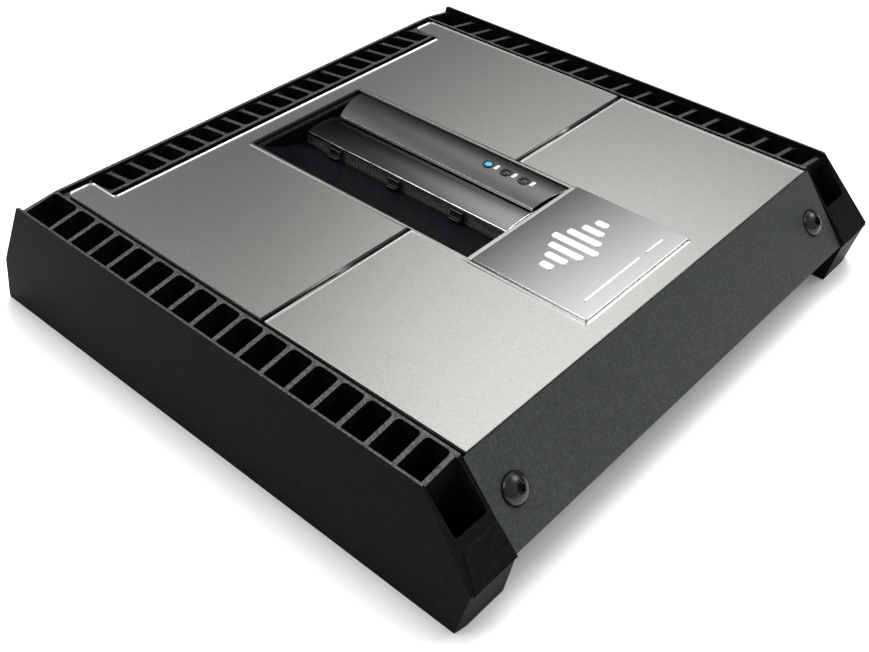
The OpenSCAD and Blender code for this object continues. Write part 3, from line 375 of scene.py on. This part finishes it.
def powder_coat():
    """Satin black powder coat, worn to bare metal on the fin crowns, whose upward faces are
    lightened partly as a painted highlight.
    """
    name = "Powder Coat"
    if name in bpy.data.materials:
        return bpy.data.materials[name]
    made = grained(name, colours().casting, rough=0.45, scale=1300.0, depth=0.00006, bump=0.4,
                   contrast=0.25, edge_wear_highlight_gain=9.0, wear_highlight_amount=0.7, dust=0.004, specular=0.02)
    tree = made.node_tree
    shader = tree.nodes["Principled BSDF"]
    body = shader.inputs["Base Color"].links[0].from_socket
    crowns = grouped(tree, crown_group(), Height=0.0545)
    pale = put(tree, "ShaderNodeTexNoise", {
        "Vector": put(tree, "ShaderNodeTexCoord").outputs["Object"],
        "Scale": 900.0, "Detail": 4.0})
    crown_mottle = remap(tree, pale.outputs["Fac"], 0.38, 0.62, 0.0, 1.0)
    # Fin crowns: upward faces painted lighter, partly bare metal, partly a painted highlight.
    crown = mixed(tree, crown_mottle, rgba(colours().crown, 0.55), rgba(colours().crown, 1.3))
    base = mixed(tree, crowns.outputs["Mask"], body, crown)
    tree.links.new(base, shader.inputs["Base Color"])
    bare = arithmetic(tree, "MULTIPLY", crowns.outputs["Mask"], 0.85)
    tree.links.new(bare, shader.inputs["Metallic"])
    return made


def blasted_aluminium():
    """Bead-blasted, clear anodised aluminium of the top cover, painted shadow-black below its face.
    """
    name = "Blasted Aluminium"
    if name in bpy.data.materials:
        return bpy.data.materials[name]
    made = grained(name, colours().cover, rough=0.28, metallic=1.0, scale=2600.0,
                   depth=0.00003, bump=0.3, contrast=0.06, edge_wear_highlight_gain=1.1, wear_highlight_amount=0.9, dust=0.0,
                   patch=0.015)
    tree = made.node_tree
    shader = tree.nodes["Principled BSDF"]
    body = shader.inputs["Base Color"].links[0].from_socket
    place = put(tree, "ShaderNodeTexCoord").outputs["Object"]
    height = put(tree, "ShaderNodeSeparateXYZ", {0: place}).outputs["Z"]
    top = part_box("top_cover")[1][2]
    bright = remap(tree, height, top - 1.1 * MM, top - 0.8 * MM, 0.0, 1.0)
    # Painted shadow: everything more than 0.8 mm below the face, such as groove walls and sides, is
    # painted near black.
    base = mixed(tree, bright, SHADOW_BLACK, body)
    tree.links.new(base, shader.inputs["Base Color"])
    tree.links.new(bright, shader.inputs["Metallic"])
    return made


def badge_aluminium():
    """Satin aluminium of the badge plate, finely brushed across, with a painted shade that darkens
    it towards its rear.
    """
    name = "Badge Aluminium"
    if name in bpy.data.materials:
        return bpy.data.materials[name]
    made = grained(name, colours().badge, rough=0.2, metallic=1.0, scale=2200.0,
                   depth=0.000008, bump=0.15, contrast=0.02, edge_wear_highlight_gain=1.6, wear_highlight_amount=0.9,
                   dust=0.0, stretch=0.06)
    # Painted shade: the plate is painted darker towards its rear, standing in for the reflection.
    painted_shade_along(made, "badge_plate", 1.05, 0.26)
    return made


def emblem_aluminium():
    """Bright emblem."""
    return grained("Emblem Aluminium", colours().emblem, rough=0.3, metallic=0.7, scale=2500.0,
                   contrast=0.03, edge_wear_highlight_gain=1.1, dust=0.0)


def anodised_trim():
    """Dark grey anodised trim cover with a visible fine grain."""
    return grained("Anodised Trim", colours().trim, rough=0.47, metallic=0.35, scale=1700.0,
                   depth=0.00006, bump=0.5, contrast=0.22, edge_wear_highlight_gain=2.8, wear_highlight_amount=0.6, dust=0.01,
                   specular=0.3)


def gloss_black():
    """Gloss black moulding of the mesh clips."""
    return grained("Gloss Black", colours().gloss, rough=0.2, scale=500.0, depth=0.00001,
                   bump=0.1, contrast=0.1, edge_wear_highlight_gain=25.0, wear_highlight_amount=0.8, dust=0.006, specular=0.3)


def tray_black():
    """Gloss black of the vent tray, with a painted highlight along its rim and sill."""
    name = "Tray Black"
    if name in bpy.data.materials:
        return bpy.data.materials[name]
    made = grained(name, colours().gloss, rough=0.2, scale=500.0, depth=0.00001, bump=0.1,
                   contrast=0.1, edge_wear_highlight_gain=25.0, wear_highlight_amount=0.8, dust=0.006, specular=0.3)
    tree = made.node_tree
    shader = tree.nodes["Principled BSDF"]
    body = shader.inputs["Base Color"].links[0].from_socket
    rim_highlight = grouped(tree, crown_group(), Height=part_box("vent_insert")[1][2] - 0.6 * MM)
    # Painted highlight: the upward rim and sill are painted pale metal.
    base = mixed(tree, rim_highlight.outputs["Mask"], body, rgba(colours().blade, 3.2))
    tree.links.new(base, shader.inputs["Base Color"])
    tree.links.new(rim_highlight.outputs["Mask"], shader.inputs["Metallic"])
    return made


def smoked_blade():
    """Smoked metallic gloss of the upper louvre blade."""
    return grained("Smoked Blade", colours().blade, rough=0.24, metallic=1.0, scale=1800.0,
                   depth=0.000008, bump=0.2, contrast=0.04, edge_wear_highlight_gain=5.0, wear_highlight_amount=0.9, dust=0.0)


def dark_blade():
    """Gloss of the lower louvre blade, with a painted reflection shade: bright at its front, nearly
    black at its rear end.
    """
    name = "Dark Blade"
    if name in bpy.data.materials:
        return bpy.data.materials[name]
    made = grained(name, colours().blade, rough=0.16, metallic=1.0, scale=1800.0,
                   depth=0.000008, bump=0.2, contrast=0.04, edge_wear_highlight_gain=5.0, wear_highlight_amount=0.9, dust=0.0)
    # Painted reflection: the blade is painted bright at the front and nearly black at the rear.
    painted_shade_along(made, "lower_blade", 1.5, 0.1)
    return made


def moulded_black():
    """Textured black moulding of blocks, jacks and fans."""
    return grained("Moulded Black", colours().moulded, rough=0.45, scale=1100.0,
                   depth=0.00004, bump=0.4, contrast=0.15, edge_wear_highlight_gain=2.5, dust=0.03)


def painted_panel():
    """Satin black paint on sheet metal."""
    return grained("Painted Panel", colours().moulded, rough=0.38, scale=900.0,
                   depth=0.00003, bump=0.3, contrast=0.12, edge_wear_highlight_gain=4.0, dust=0.03)


def plated_steel():
    """Zinc-plated steel of screws and nuts."""
    return grained("Plated Steel", colours().steel, rough=0.32, metallic=1.0, scale=1600.0,
                   depth=0.00001, contrast=0.08, edge_wear_highlight_gain=1.3, dust=0.02)


def black_steel():
    """Black oxide steel of the trim screws."""
    return grained("Black Steel", colours().black_steel, rough=0.22, metallic=0.3, scale=1400.0,
                   depth=0.00001, contrast=0.2, edge_wear_highlight_gain=25.0, wear_highlight_amount=1.0, dust=0.01)


def gold_plate():
    """Gold-plated brass of jacks, terminals and stand-offs."""
    return grained("Gold Plate", colours().gold, rough=0.2, metallic=1.0, scale=1200.0,
                   depth=0.000008, contrast=0.05, edge_wear_highlight_gain=1.15, dust=0.01)


def bar_aluminium():
    """Extruded aluminium of the clamp bars, drawn along its length."""
    return grained("Bar Aluminium", colours().cover, rough=0.32, metallic=1.0, scale=1500.0,
                   depth=0.00002, contrast=0.1, edge_wear_highlight_gain=1.2, dust=0.03, stretch=4.0)


def white_moulding():
    """White moulding of insulators and switch levers."""
    return grained("White Moulding", (0.72, 0.72, 0.7), rough=0.4, scale=900.0,
                   depth=0.00001, contrast=0.04, edge_wear_highlight_gain=1.1, dust=0.05)


def silicone_pad():
    """Grey silicone of the insulating pads."""
    return grained("Silicone Pad", (0.3, 0.31, 0.33), rough=0.75, scale=2000.0,
                   depth=0.00003, contrast=0.1, edge_wear_highlight_gain=1.1, dust=0.05)


def moulded_epoxy():
    """Black epoxy of semiconductor packages."""
    return grained("Moulded Epoxy", (0.012, 0.012, 0.013), rough=0.55, scale=2400.0,
                   depth=0.00003, contrast=0.3, edge_wear_highlight_gain=2.0, dust=0.03)


def shrink_sleeve():
    """Shrunk plastic sleeve of the capacitors."""
    return grained("Shrink Sleeve", colours().sleeve, rough=0.22, scale=300.0,
                   depth=0.00003, contrast=0.1, edge_wear_highlight_gain=2.5, dust=0.03, coat=0.3)


def blue_moulding():
    """Blue moulding of the potentiometers."""
    return grained("Blue Moulding", (0.02, 0.04, 0.16), rough=0.4, scale=900.0,
                   depth=0.00001, contrast=0.06, edge_wear_highlight_gain=1.4, dust=0.03)


def printed_ink():
    """Pale printed marks."""
    return grained("Printed Ink", colours().ink, rough=0.6, scale=1500.0, depth=0.000005,
                   contrast=0.05, edge_wear_highlight_gain=1.0, dust=0.0)


def woven_wire():
    """Dull grey wire of the vent mesh."""
    return grained("Woven Wire", (0.2, 0.2, 0.195), rough=0.35, metallic=0.8, scale=2500.0,
                   depth=0.000005, contrast=0.2, edge_wear_highlight_gain=1.0, dust=0.05)


def circuit_board():
    """Solder mask over a staggered grid of copper tracks."""
    name = "Circuit Board"
    if name in bpy.data.materials:
        return bpy.data.materials[name]
    made = grained(name, colours().board, rough=0.33, scale=700.0, depth=0.00001,
                   contrast=0.1, edge_wear_highlight_gain=1.3, dust=0.05, coat=0.3)
    tree = made.node_tree
    shader = tree.nodes["Principled BSDF"]
    mask = shader.inputs["Base Color"].links[0].from_socket
    place = put(tree, "ShaderNodeTexCoord").outputs["Object"]
    tracks = put(tree, "ShaderNodeTexBrick", {
        "Vector": place, "Color1": (0, 0, 0, 1), "Color2": (0, 0, 0, 1),
        "Mortar": (1, 1, 1, 1), "Scale": 60.0, "Mortar Size": 0.03})
    base = mixed(tree, tracks.outputs["Fac"], mask, rgba(colours().board, 2.2))
    tree.links.new(base, shader.inputs["Base Color"])
    return made


def enamelled_wire():
    """Copper winding with fine slanting turns of wire."""
    name = "Enamelled Wire"
    if name in bpy.data.materials:
        return bpy.data.materials[name]
    made = grained(name, colours().copper, rough=0.24, metallic=0.6, scale=900.0,
                   depth=0.00001, contrast=0.08, edge_wear_highlight_gain=1.3, dust=0.02, coat=0.5)
    tree = made.node_tree
    shader = tree.nodes["Principled BSDF"]
    lacquer = shader.inputs["Base Color"].links[0].from_socket
    place = put(tree, "ShaderNodeTexCoord").outputs["Object"]
    turns = put(tree, "ShaderNodeTexWave", {
        "Vector": place, "Scale": 260.0, "Distortion": 1.0}, bands_direction="DIAGONAL")
    base = mixed(tree, turns.outputs["Fac"], rgba(colours().copper, 0.5), lacquer)
    tree.links.new(base, shader.inputs["Base Color"])
    return made


def lit_lens():
    """Light pipe of the lit status light, brightest at its middle."""
    name = "Lit Lens"
    if name in bpy.data.materials:
        return bpy.data.materials[name]
    made = grained(name, colours().light, rough=0.15, scale=900.0, depth=0.000005,
                   contrast=0.05, edge_wear_highlight_gain=1.0, dust=0.0)
    tree = made.node_tree
    shader = tree.nodes["Principled BSDF"]
    facing = put(tree, "ShaderNodeSeparateXYZ",
                 {0: put(tree, "ShaderNodeTexCoord").outputs["Normal"]}).outputs["Z"]
    heart = remap(tree, facing, 0.82, 0.97, 0.0, 1.0)
    glow = mixed(tree, heart, rgba(colours().light), LENS_HEART)
    tree.links.new(glow, shader.inputs["Emission Color"])
    shader.inputs["Emission Strength"].default_value = 0.95
    return made


def dark_lens():
    """Light pipe of an unlit status light."""
    return grained("Dark Lens", (0.01, 0.01, 0.012), rough=0.1, scale=900.0, depth=0.000005,
                   contrast=0.1, edge_wear_highlight_gain=1.5, dust=0.0, coat=0.5)


def studio_floor():
    """Plain pale floor."""
    return grained("Studio Floor", colours().floor, rough=0.8, scale=40.0, depth=0.00001,
                   bump=0.05, contrast=0.004, edge_wear_highlight_gain=1.0, wear_highlight_amount=0.0, dust=0.0, specular=0.1)


# ---------------------------------------------------------------- shared mesh work


def merged_copy(*nodes):
    """Solid copy of CAD nodes, with its flat faces joined up."""
    bm = bmesh.new()
    for node in nodes:
        bm.from_mesh(CAD[node].data)
    bmesh.ops.remove_doubles(bm, verts=bm.verts, dist=MERGE_DISTANCE)
    bmesh.ops.dissolve_limit(bm, angle_limit=FLAT_ANGLE, verts=bm.verts, edges=bm.edges,
                             use_dissolve_boundaries=False)
    return bm


def lipped_face(bm, width):
    """Sinks the topmost face in two steps inside a narrow lip, which stays at full height."""
    mark = bm.faces.layers.float.new("edge")
    top = max(vert.co.z for vert in bm.verts)
    faces = [f for f in bm.faces if f.normal.z > 0.99 and f.calc_center_median().z > top - 0.01 * MM]
    for share, drop in LIP_STEPS:
        inner = {vert for face in faces for vert in face.verts}
        made = bmesh.ops.inset_region(bm, faces=faces, thickness=width * share, depth=0.0,
                                      use_even_offset=True, use_boundary=True)
        for vert in inner:
            vert.co.z -= width * drop
        for face in made["faces"]:
            face[mark] = 1.0
    return bm


def soften(bm, width, segments=2, angle=28):
    """Rounds every edge sharper than an angle, less where edges are short, and marks it."""
    mark = bm.faces.layers.float.new("edge")
    sharp = [e for e in bm.edges if e.is_manifold and e.calc_face_angle(0) > math.radians(angle)]
    made = bmesh.ops.bevel(bm, geom=sharp, offset=width, offset_type="OFFSET",
                           segments=segments, profile=0.5, affect="EDGES", clamp_overlap=True,
                           material=-1)
    for face in made["faces"]:
        face[mark] = 1.0
    return bm


def finished(bm, name, body, material, stands_for=(), smooth=35):
    """Turns a bmesh into a piece that rides on a body and takes a slot's finish."""
    mesh = bpy.data.meshes.new(name)
    bm.to_mesh(mesh)
    bm.free()
    mesh.materials.append(material)
    mesh.shade_smooth()
    mesh.set_sharp_from_angle(angle=math.radians(smooth))
    piece = bpy.data.objects.new(name, mesh)
    bpy.context.scene.collection.objects.link(piece)
    weighted = piece.modifiers.new("Weighted Normals", "WEIGHTED_NORMAL")
    weighted.keep_sharp = True
    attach(piece, body)
    if stands_for:
        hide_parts(*stands_for)
    return piece


def reworked(node, material, width, segments=2, smooth=35):
    """CAD node with rounded edges, in its final material."""
    bm = soften(merged_copy(node), width, segments)
    return finished(bm, node + "_finished", CAD[node]["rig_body"], material,
                    (node,), smooth)


def dressed(material, *nodes):
    """Gives carried-over CAD nodes their material."""
    for node in nodes:
        mesh = CAD[node].data
        mesh.materials.clear()
        mesh.materials.append(material)


def rod(bm, start, end, radius, sides=8):
    """Round bar between two points."""
    along = end - start
    turn = along.to_track_quat("Z", "Y").to_matrix().to_4x4()
    place = Matrix.Translation((start + end) / 2) @ turn
    bmesh.ops.create_cone(bm, cap_ends=True, segments=sides, radius1=radius, radius2=radius,
                          depth=along.length, matrix=place)


def slab(bm, low, high):
    """Box between two corners."""
    size = high - low
    place = Matrix.Translation((low + high) / 2) @ Matrix.Diagonal(size).to_4x4()
    bmesh.ops.create_cube(bm, size=1.0, matrix=place)


class PieceOperator:
    """What every operator of the panel shares."""

    bl_options = {"REGISTER", "UNDO"}


# ---------------------------------------------------------------- pieces


class AMPLIFIER_OT_castings(PieceOperator, bpy.types.Operator):
    """Three finned castings with rounded edges and a powder coat"""

    bl_idname = "amplifier.castings"
    bl_label = "Castings"

    def execute(self, context):
        for node in ("left_casting", "right_casting", "rear_casting"):
            reworked(node, powder_coat(), sizes().casting_edge, 2)
        return {"FINISHED"}


class AMPLIFIER_OT_top_cover(PieceOperator, bpy.types.Operator):
    """Bright top cover with its groove and a narrow lip round its face"""

    bl_idname = "amplifier.top_cover"
    bl_label = "Top Cover"

    def execute(self, context):
        bm = lipped_face(merged_copy("top_cover"), sizes().cover_lip)
        finished(bm, "top_cover_finished", CAD["top_cover"]["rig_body"],
                 blasted_aluminium(), ("top_cover",), 60)
        return {"FINISHED"}


class AMPLIFIER_OT_badge(PieceOperator, bpy.types.Operator):
    """Badge plate with a plain bar emblem"""

    bl_idname = "amplifier.badge"
    bl_label = "Badge"

    def execute(self, context):
        reworked("badge_plate", badge_aluminium(), sizes().sheet_edge, 3)
        reworked("badge_emblem", emblem_aluminium(), 0.08 * MM, 2)
        return {"FINISHED"}


class AMPLIFIER_OT_vent(PieceOperator, bpy.types.Operator):
    """Vent tray, louvre blades and clips"""

    bl_idname = "amplifier.vent"
    bl_label = "Vent"

    def execute(self, context):
        reworked("vent_insert", tray_black(), sizes().sheet_edge, 2)
        reworked("upper_blade", smoked_blade(), sizes().sheet_edge, 3)
        reworked("lower_blade", dark_blade(), sizes().sheet_edge, 3)
        reworked("mesh_clips", gloss_black(), sizes().small_edge, 2)
        return {"FINISHED"}


class AMPLIFIER_OT_mesh(PieceOperator, bpy.types.Operator):
    """Woven wire mesh under the lower blade"""

    bl_idname = "amplifier.mesh"
    bl_label = "Vent Mesh"

    def execute(self, context):
        low, high = (Vector(corner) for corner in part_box("vent_mesh"))
        pitch = sizes().wire_pitch
        radius = sizes().wire_radius
        middle = (low.x + high.x) / 2
        bm = bmesh.new()
        uprights = int((high.y - low.y) / pitch)
        for k in range(uprights + 1):
            y = low.y + radius + (high.y - low.y - 2 * radius) * k / uprights
            x = middle + radius * (1 if k % 2 else -1)
            rod(bm, Vector((x, y, low.z)), Vector((x, y, high.z)), radius, 6)
        levels = int((high.z - low.z) / pitch)
        for k in range(levels + 1):
            z = low.z + radius + (high.z - low.z - 2 * radius) * k / levels
            rod(bm, Vector((middle, low.y, z)), Vector((middle, high.y, z)), radius, 6)
        frame_t = 0.5 * MM
        for z in (low.z, high.z - frame_t):
            slab(bm, Vector((low.x, low.y, z)), Vector((high.x, high.y, z + frame_t)))
        bm.faces.layers.float.new("edge")
        finished(bm, "vent_mesh_woven", CAD["vent_mesh"]["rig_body"],
                 woven_wire(), ("vent_mesh",))
        return {"FINISHED"}


class AMPLIFIER_OT_lights(PieceOperator, bpy.types.Operator):
    """Status lights with bezels, lenses, their board and tick marks"""

    bl_idname = "amplifier.lights"
    bl_label = "Status Lights"

    def execute(self, context):
        reworked("lens_bezels", moulded_black(), 0.15 * MM, 2)
        reworked("power_lens", lit_lens(), 0.1 * MM, 1)
        reworked("status_lenses", dark_lens(), 0.1 * MM, 1)
        dressed(circuit_board(), "led_board")
        dressed(white_moulding(), "leds")
        self.marks()
        return {"FINISHED"}

    def marks(self):
        """Three short printed ticks in front of each light."""
        low, high = (Vector(corner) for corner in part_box("lens_bezels"))
        half = Vector((0.45, 0.9, 0)) * MM
        gap, spacing, depth = 2.2 * MM, 1.5 * MM, 0.4 * MM
        diameter = high.x - low.x
        pitch = (high.y - low.y - diameter) / 2
        bm = bmesh.new()
        for light in range(3):
            for step in (-1, 0, 1):
                centre = Vector(((low.x + high.x) / 2 + step * spacing,
                                 low.y + light * pitch - gap, high.z + 0.02 * MM))
                slab(bm, centre - half - Vector((0, 0, depth)), centre + half)
        bm.faces.layers.float.new("edge")
        finished(bm, "light_marks", CAD["upper_blade"]["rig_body"],
                 printed_ink())


class AMPLIFIER_OT_trim(PieceOperator, bpy.types.Operator):
    """Trim cover, its screws and brackets"""

    bl_idname = "amplifier.trim"
    bl_label = "Trim Cover"

    def execute(self, context):
        reworked("trim_cover", anodised_trim(), sizes().sheet_edge, 3)
        reworked("trim_screws", black_steel(), 0.25 * MM, 2)
        reworked("trim_brackets", painted_panel(), sizes().sheet_edge, 2)
        dressed(plated_steel(), "bracket_screws")
        return {"FINISHED"}


class AMPLIFIER_OT_terminals(PieceOperator, bpy.types.Operator):
    """Base plate, terminal panel, wire blocks and jacks"""

    bl_idname = "amplifier.terminals"
    bl_label = "Terminals"

    def execute(self, context):
        reworked("base_plate", painted_panel(), sizes().sheet_edge, 2)
        reworked("terminal_panel", painted_panel(), sizes().small_edge, 2)
        for node in ("power_block", "speaker_block", "rca_block", "remote_jack"):
            reworked(node, moulded_black(), sizes().small_edge, 2)
        for node in ("rca_jacks", "power_set_screws", "speaker_set_screws"):
            reworked(node, gold_plate(), 0.1 * MM, 2)
        reworked("rca_insulators", white_moulding(), 0.1 * MM, 2)
        dressed(plated_steel(), "base_screws", "cover_nuts", "panel_screws")
        return {"FINISHED"}


class AMPLIFIER_OT_controls(PieceOperator, bpy.types.Operator):
    """Knobs, switches and their dial marks"""

    bl_idname = "amplifier.controls"
    bl_label = "Controls"

    knobs = ("gain_knob_a", "gain_knob_b", "crossover_knob", "bass_knob")

    def execute(self, context):
        for node in self.knobs:
            reworked(node, moulded_black(), 0.15 * MM, 2)
        for node in ("crossover_switch", "input_switch"):
            reworked(node, white_moulding(), 0.1 * MM, 2)
        dressed(plated_steel(), "switch_bodies")
        dressed(blue_moulding(), "potentiometers")
        dressed(circuit_board(), "control_board")
        self.marks()
        return {"FINISHED"}

    def marks(self):
        """Eleven dial ticks round each knob, printed on the panel's face."""
        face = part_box("terminal_panel")[0][1]
        ticks, sweep = 11, math.radians(280)
        gap, length, radius = 1.2 * MM, 1.6 * MM, 0.22 * MM
        bm = bmesh.new()
        for node in self.knobs:
            low, high = (Vector(corner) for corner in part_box(node))
            centre = (low + high) / 2
            reach = (high.x - low.x) / 2
            for k in range(ticks):
                angle = sweep * (k / (ticks - 1) - 0.5)
                out = Vector((math.sin(angle), 0, math.cos(angle)))
                start = Vector((centre.x, face, centre.z)) + out * (reach + gap)
                rod(bm, start, start + out * length, radius, 6)
        bm.faces.layers.float.new("edge")
        finished(bm, "dial_marks", CAD["terminal_panel"]["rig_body"],
                 printed_ink())


class AMPLIFIER_OT_electronics(PieceOperator, bpy.types.Operator):
    """Boards, transformers, capacitors, transistors and fans"""

    bl_idname = "amplifier.electronics"
    bl_label = "Electronics"

    def execute(self, context):
        dressed(circuit_board(), "main_board")
        dressed(gold_plate(), "board_standoffs")
        dressed(plated_steel(), "board_screws", "clamp_screws", "fan_screws")
        dressed(enamelled_wire(), "power_transformers", "output_chokes")
        dressed(painted_panel(), "transformer_clamps")
        dressed(shrink_sleeve(), "rail_capacitors", "input_capacitors")
        dressed(moulded_epoxy(), "power_transistors", "driver_chips")
        dressed(silicone_pad(), "thermal_pads")
        dressed(bar_aluminium(), "clamp_bars")
        dressed(moulded_black(), "fan_housings", "front_fan_rotor", "rear_fan_rotor")
        return {"FINISHED"}


# ---------------------------------------------------------------- stage


class AMPLIFIER_OT_stage(PieceOperator, bpy.types.Operator):
    """Pale floor, soft studio light and the camera"""

    bl_idname = "amplifier.stage"
    bl_label = "Studio"

    camera_at = Vector((-366.7, -312.2, 370.9)) * MM
    sensor_width = 36.0
    floor_reach = 6.0
    dim = (0.05, 0.052, 0.054, 1)

    def execute(self, context):
        context.scene.view_settings.view_transform = "Standard"
        self.floor()
        self.dome()
        self.softbox("Rear Softbox", Vector((0.62, 0.32, 1.9)), 1.3, 57.0)
        self.softbox("Front Softbox", Vector((-1.3, -1.6, 1.3)), 1.2, 5.0)
        self.camera()
        return {"FINISHED"}

    def floor(self):
        """Wide floor under the castings' feet."""
        bm = bmesh.new()
        bmesh.ops.create_grid(bm, x_segments=8, y_segments=8, size=self.floor_reach)
        mesh = bpy.data.meshes.new("floor")
        bm.to_mesh(mesh)
        bm.free()
        mesh.materials.append(studio_floor())
        floor = bpy.data.objects.new("floor", mesh)
        bpy.context.scene.collection.objects.link(floor)

    def glow(self, tree, way, azimuth, elevation, stops):
        """Round glow on the dome: brightness by degrees away from its middle."""
        level, turn = math.radians(elevation), math.radians(azimuth)
        middle = Vector((math.cos(level) * math.cos(turn), math.cos(level) * math.sin(turn),
                         math.sin(level)))
        towards = put(tree, "ShaderNodeVectorMath", {0: way, 1: middle},
                      operation="DOT_PRODUCT").outputs["Value"]
        away = arithmetic(tree, "ARCCOSINE", towards, 0.0)
        widest = math.radians(stops[-1][0])
        ramp = put(tree, "ShaderNodeValToRGB", {0: remap(tree, away, 0.0, widest, 0.0, 1.0)})
        bar = ramp.color_ramp
        bar.elements.remove(bar.elements[1])
        bar.elements[0].position = 0.0
        bar.elements[0].color = (stops[0][1],) * 3 + (1,)
        for angle, bright in stops[1:]:
            stop = bar.elements.new(math.radians(angle) / widest)
            stop.color = (bright,) * 3 + (1,)
        return ramp.outputs[0]

    def dome(self):
        """Studio dome: dim all round, with five soft round glows."""
        world = bpy.data.worlds.new("Studio Dome")
        world.use_nodes = True
        tree = world.node_tree
        tree.nodes.clear()
        way = put(tree, "ShaderNodeTexCoord").outputs["Generated"]
        parts = (
            self.glow(tree, way, 28, 46, ((0, 1.4), (9, 1.3), (13, 1.05), (15.5, 0.6),
                                          (17, 0.2), (19, 0.03), (22, 0.0))),
            self.glow(tree, way, 88, 54, ((0, 1.0), (12, 0.85), (20, 0.45), (28, 0.14),
                                          (38, 0.0))),
            self.glow(tree, way, 141, 44, ((0, 5.0), (11, 4.5), (18, 0.6), (26, 0.0))),
            self.glow(tree, way, 338, 48, ((0, 6.0), (12, 5.4), (18, 0.6), (24, 0.0))),
            self.glow(tree, way, 250, 38, ((0, 0.55), (30, 0.5), (60, 0.2), (85, 0.0))))
        total = self.dim
        for part in parts:
            total = put(tree, "ShaderNodeMix", {0: 1.0, 6: total, 7: part}, data_type="RGBA",
                        blend_type="ADD").outputs[2]
        sky = put(tree, "ShaderNodeBackground", {"Color": total, "Strength": 1.0})
        output = put(tree, "ShaderNodeOutputWorld")
        tree.links.new(sky.outputs[0], output.inputs["Surface"])
        bpy.context.scene.world = world

    def softbox(self, name, place, size, power):
        """Square area light that faces the amplifier and stays out of its reflections."""
        data = bpy.data.lights.new(name, "AREA")
        data.shape = "SQUARE"
        data.size = size
        data.energy = power
        light = bpy.data.objects.new(name, data)
        light.location = place
        light.rotation_euler = place.to_track_quat("Z", "Y").to_euler()
        light.visible_glossy = False
        bpy.context.scene.collection.objects.link(light)

    def camera(self):
        """Camera at the wanted viewing angle, slightly rolled."""
        data = bpy.data.cameras.new("Camera")
        data.lens = sizes().view_lens
        data.sensor_width = self.sensor_width
        data.clip_start = 0.01
        eye = bpy.data.objects.new("Camera", data)
        upright = Euler((math.pi / 2 - sizes().view_elevation, 0, sizes().view_azimuth))
        turned = upright.to_matrix() @ Matrix.Rotation(sizes().view_roll, 3, "Z")
        eye.matrix_world = Matrix.Translation(self.camera_at) @ turned.to_4x4()
        bpy.context.scene.collection.objects.link(eye)
        bpy.context.scene.camera = eye


# ---------------------------------------------------------------- add-on


OPERATORS = (
    AMPLIFIER_OT_castings,
    AMPLIFIER_OT_top_cover,
    AMPLIFIER_OT_badge,
    AMPLIFIER_OT_vent,
    AMPLIFIER_OT_mesh,
    AMPLIFIER_OT_lights,
    AMPLIFIER_OT_trim,
    AMPLIFIER_OT_terminals,
    AMPLIFIER_OT_controls,
    AMPLIFIER_OT_electronics,
    AMPLIFIER_OT_stage,
)


class AMPLIFIER_PT_panel(bpy.types.Panel):
    """Sidebar panel that lists the pieces and their settings"""

    bl_idname = "AMPLIFIER_PT_panel"
    bl_label = "Amplifier"
    bl_space_type = "VIEW_3D"
    bl_region_type = "UI"
    bl_category = "Amplifier"

    def draw(self, context):
        column = self.layout.column()
        for operator in OPERATORS:
            column.operator(operator.bl_idname)
        for group in (sizes(), colours()):
            for name in group.__annotations__:
                column.prop(group, name)


CLASSES = (AmplifierSizes, AmplifierColours) + OPERATORS + (AMPLIFIER_PT_panel,)


def register():
    for cls in CLASSES:
        bpy.utils.register_class(cls)
    bpy.types.Scene.amplifier_sizes = bpy.props.PointerProperty(type=AmplifierSizes)
    bpy.types.Scene.amplifier_colours = bpy.props.PointerProperty(type=AmplifierColours)


def unregister():
    del bpy.types.Scene.amplifier_colours
    del bpy.types.Scene.amplifier_sizes
    for cls in reversed(CLASSES):
        bpy.utils.unregister_class(cls)


def main():
    register()
    bpy.ops.amplifier.castings()
    bpy.ops.amplifier.top_cover()
    bpy.ops.amplifier.badge()
    bpy.ops.amplifier.vent()
    bpy.ops.amplifier.mesh()
    bpy.ops.amplifier.lights()
    bpy.ops.amplifier.trim()
    bpy.ops.amplifier.terminals()
    bpy.ops.amplifier.controls()
    bpy.ops.amplifier.electronics()
    bpy.ops.amplifier.stage()


if __name__ == "__main__":
    main()
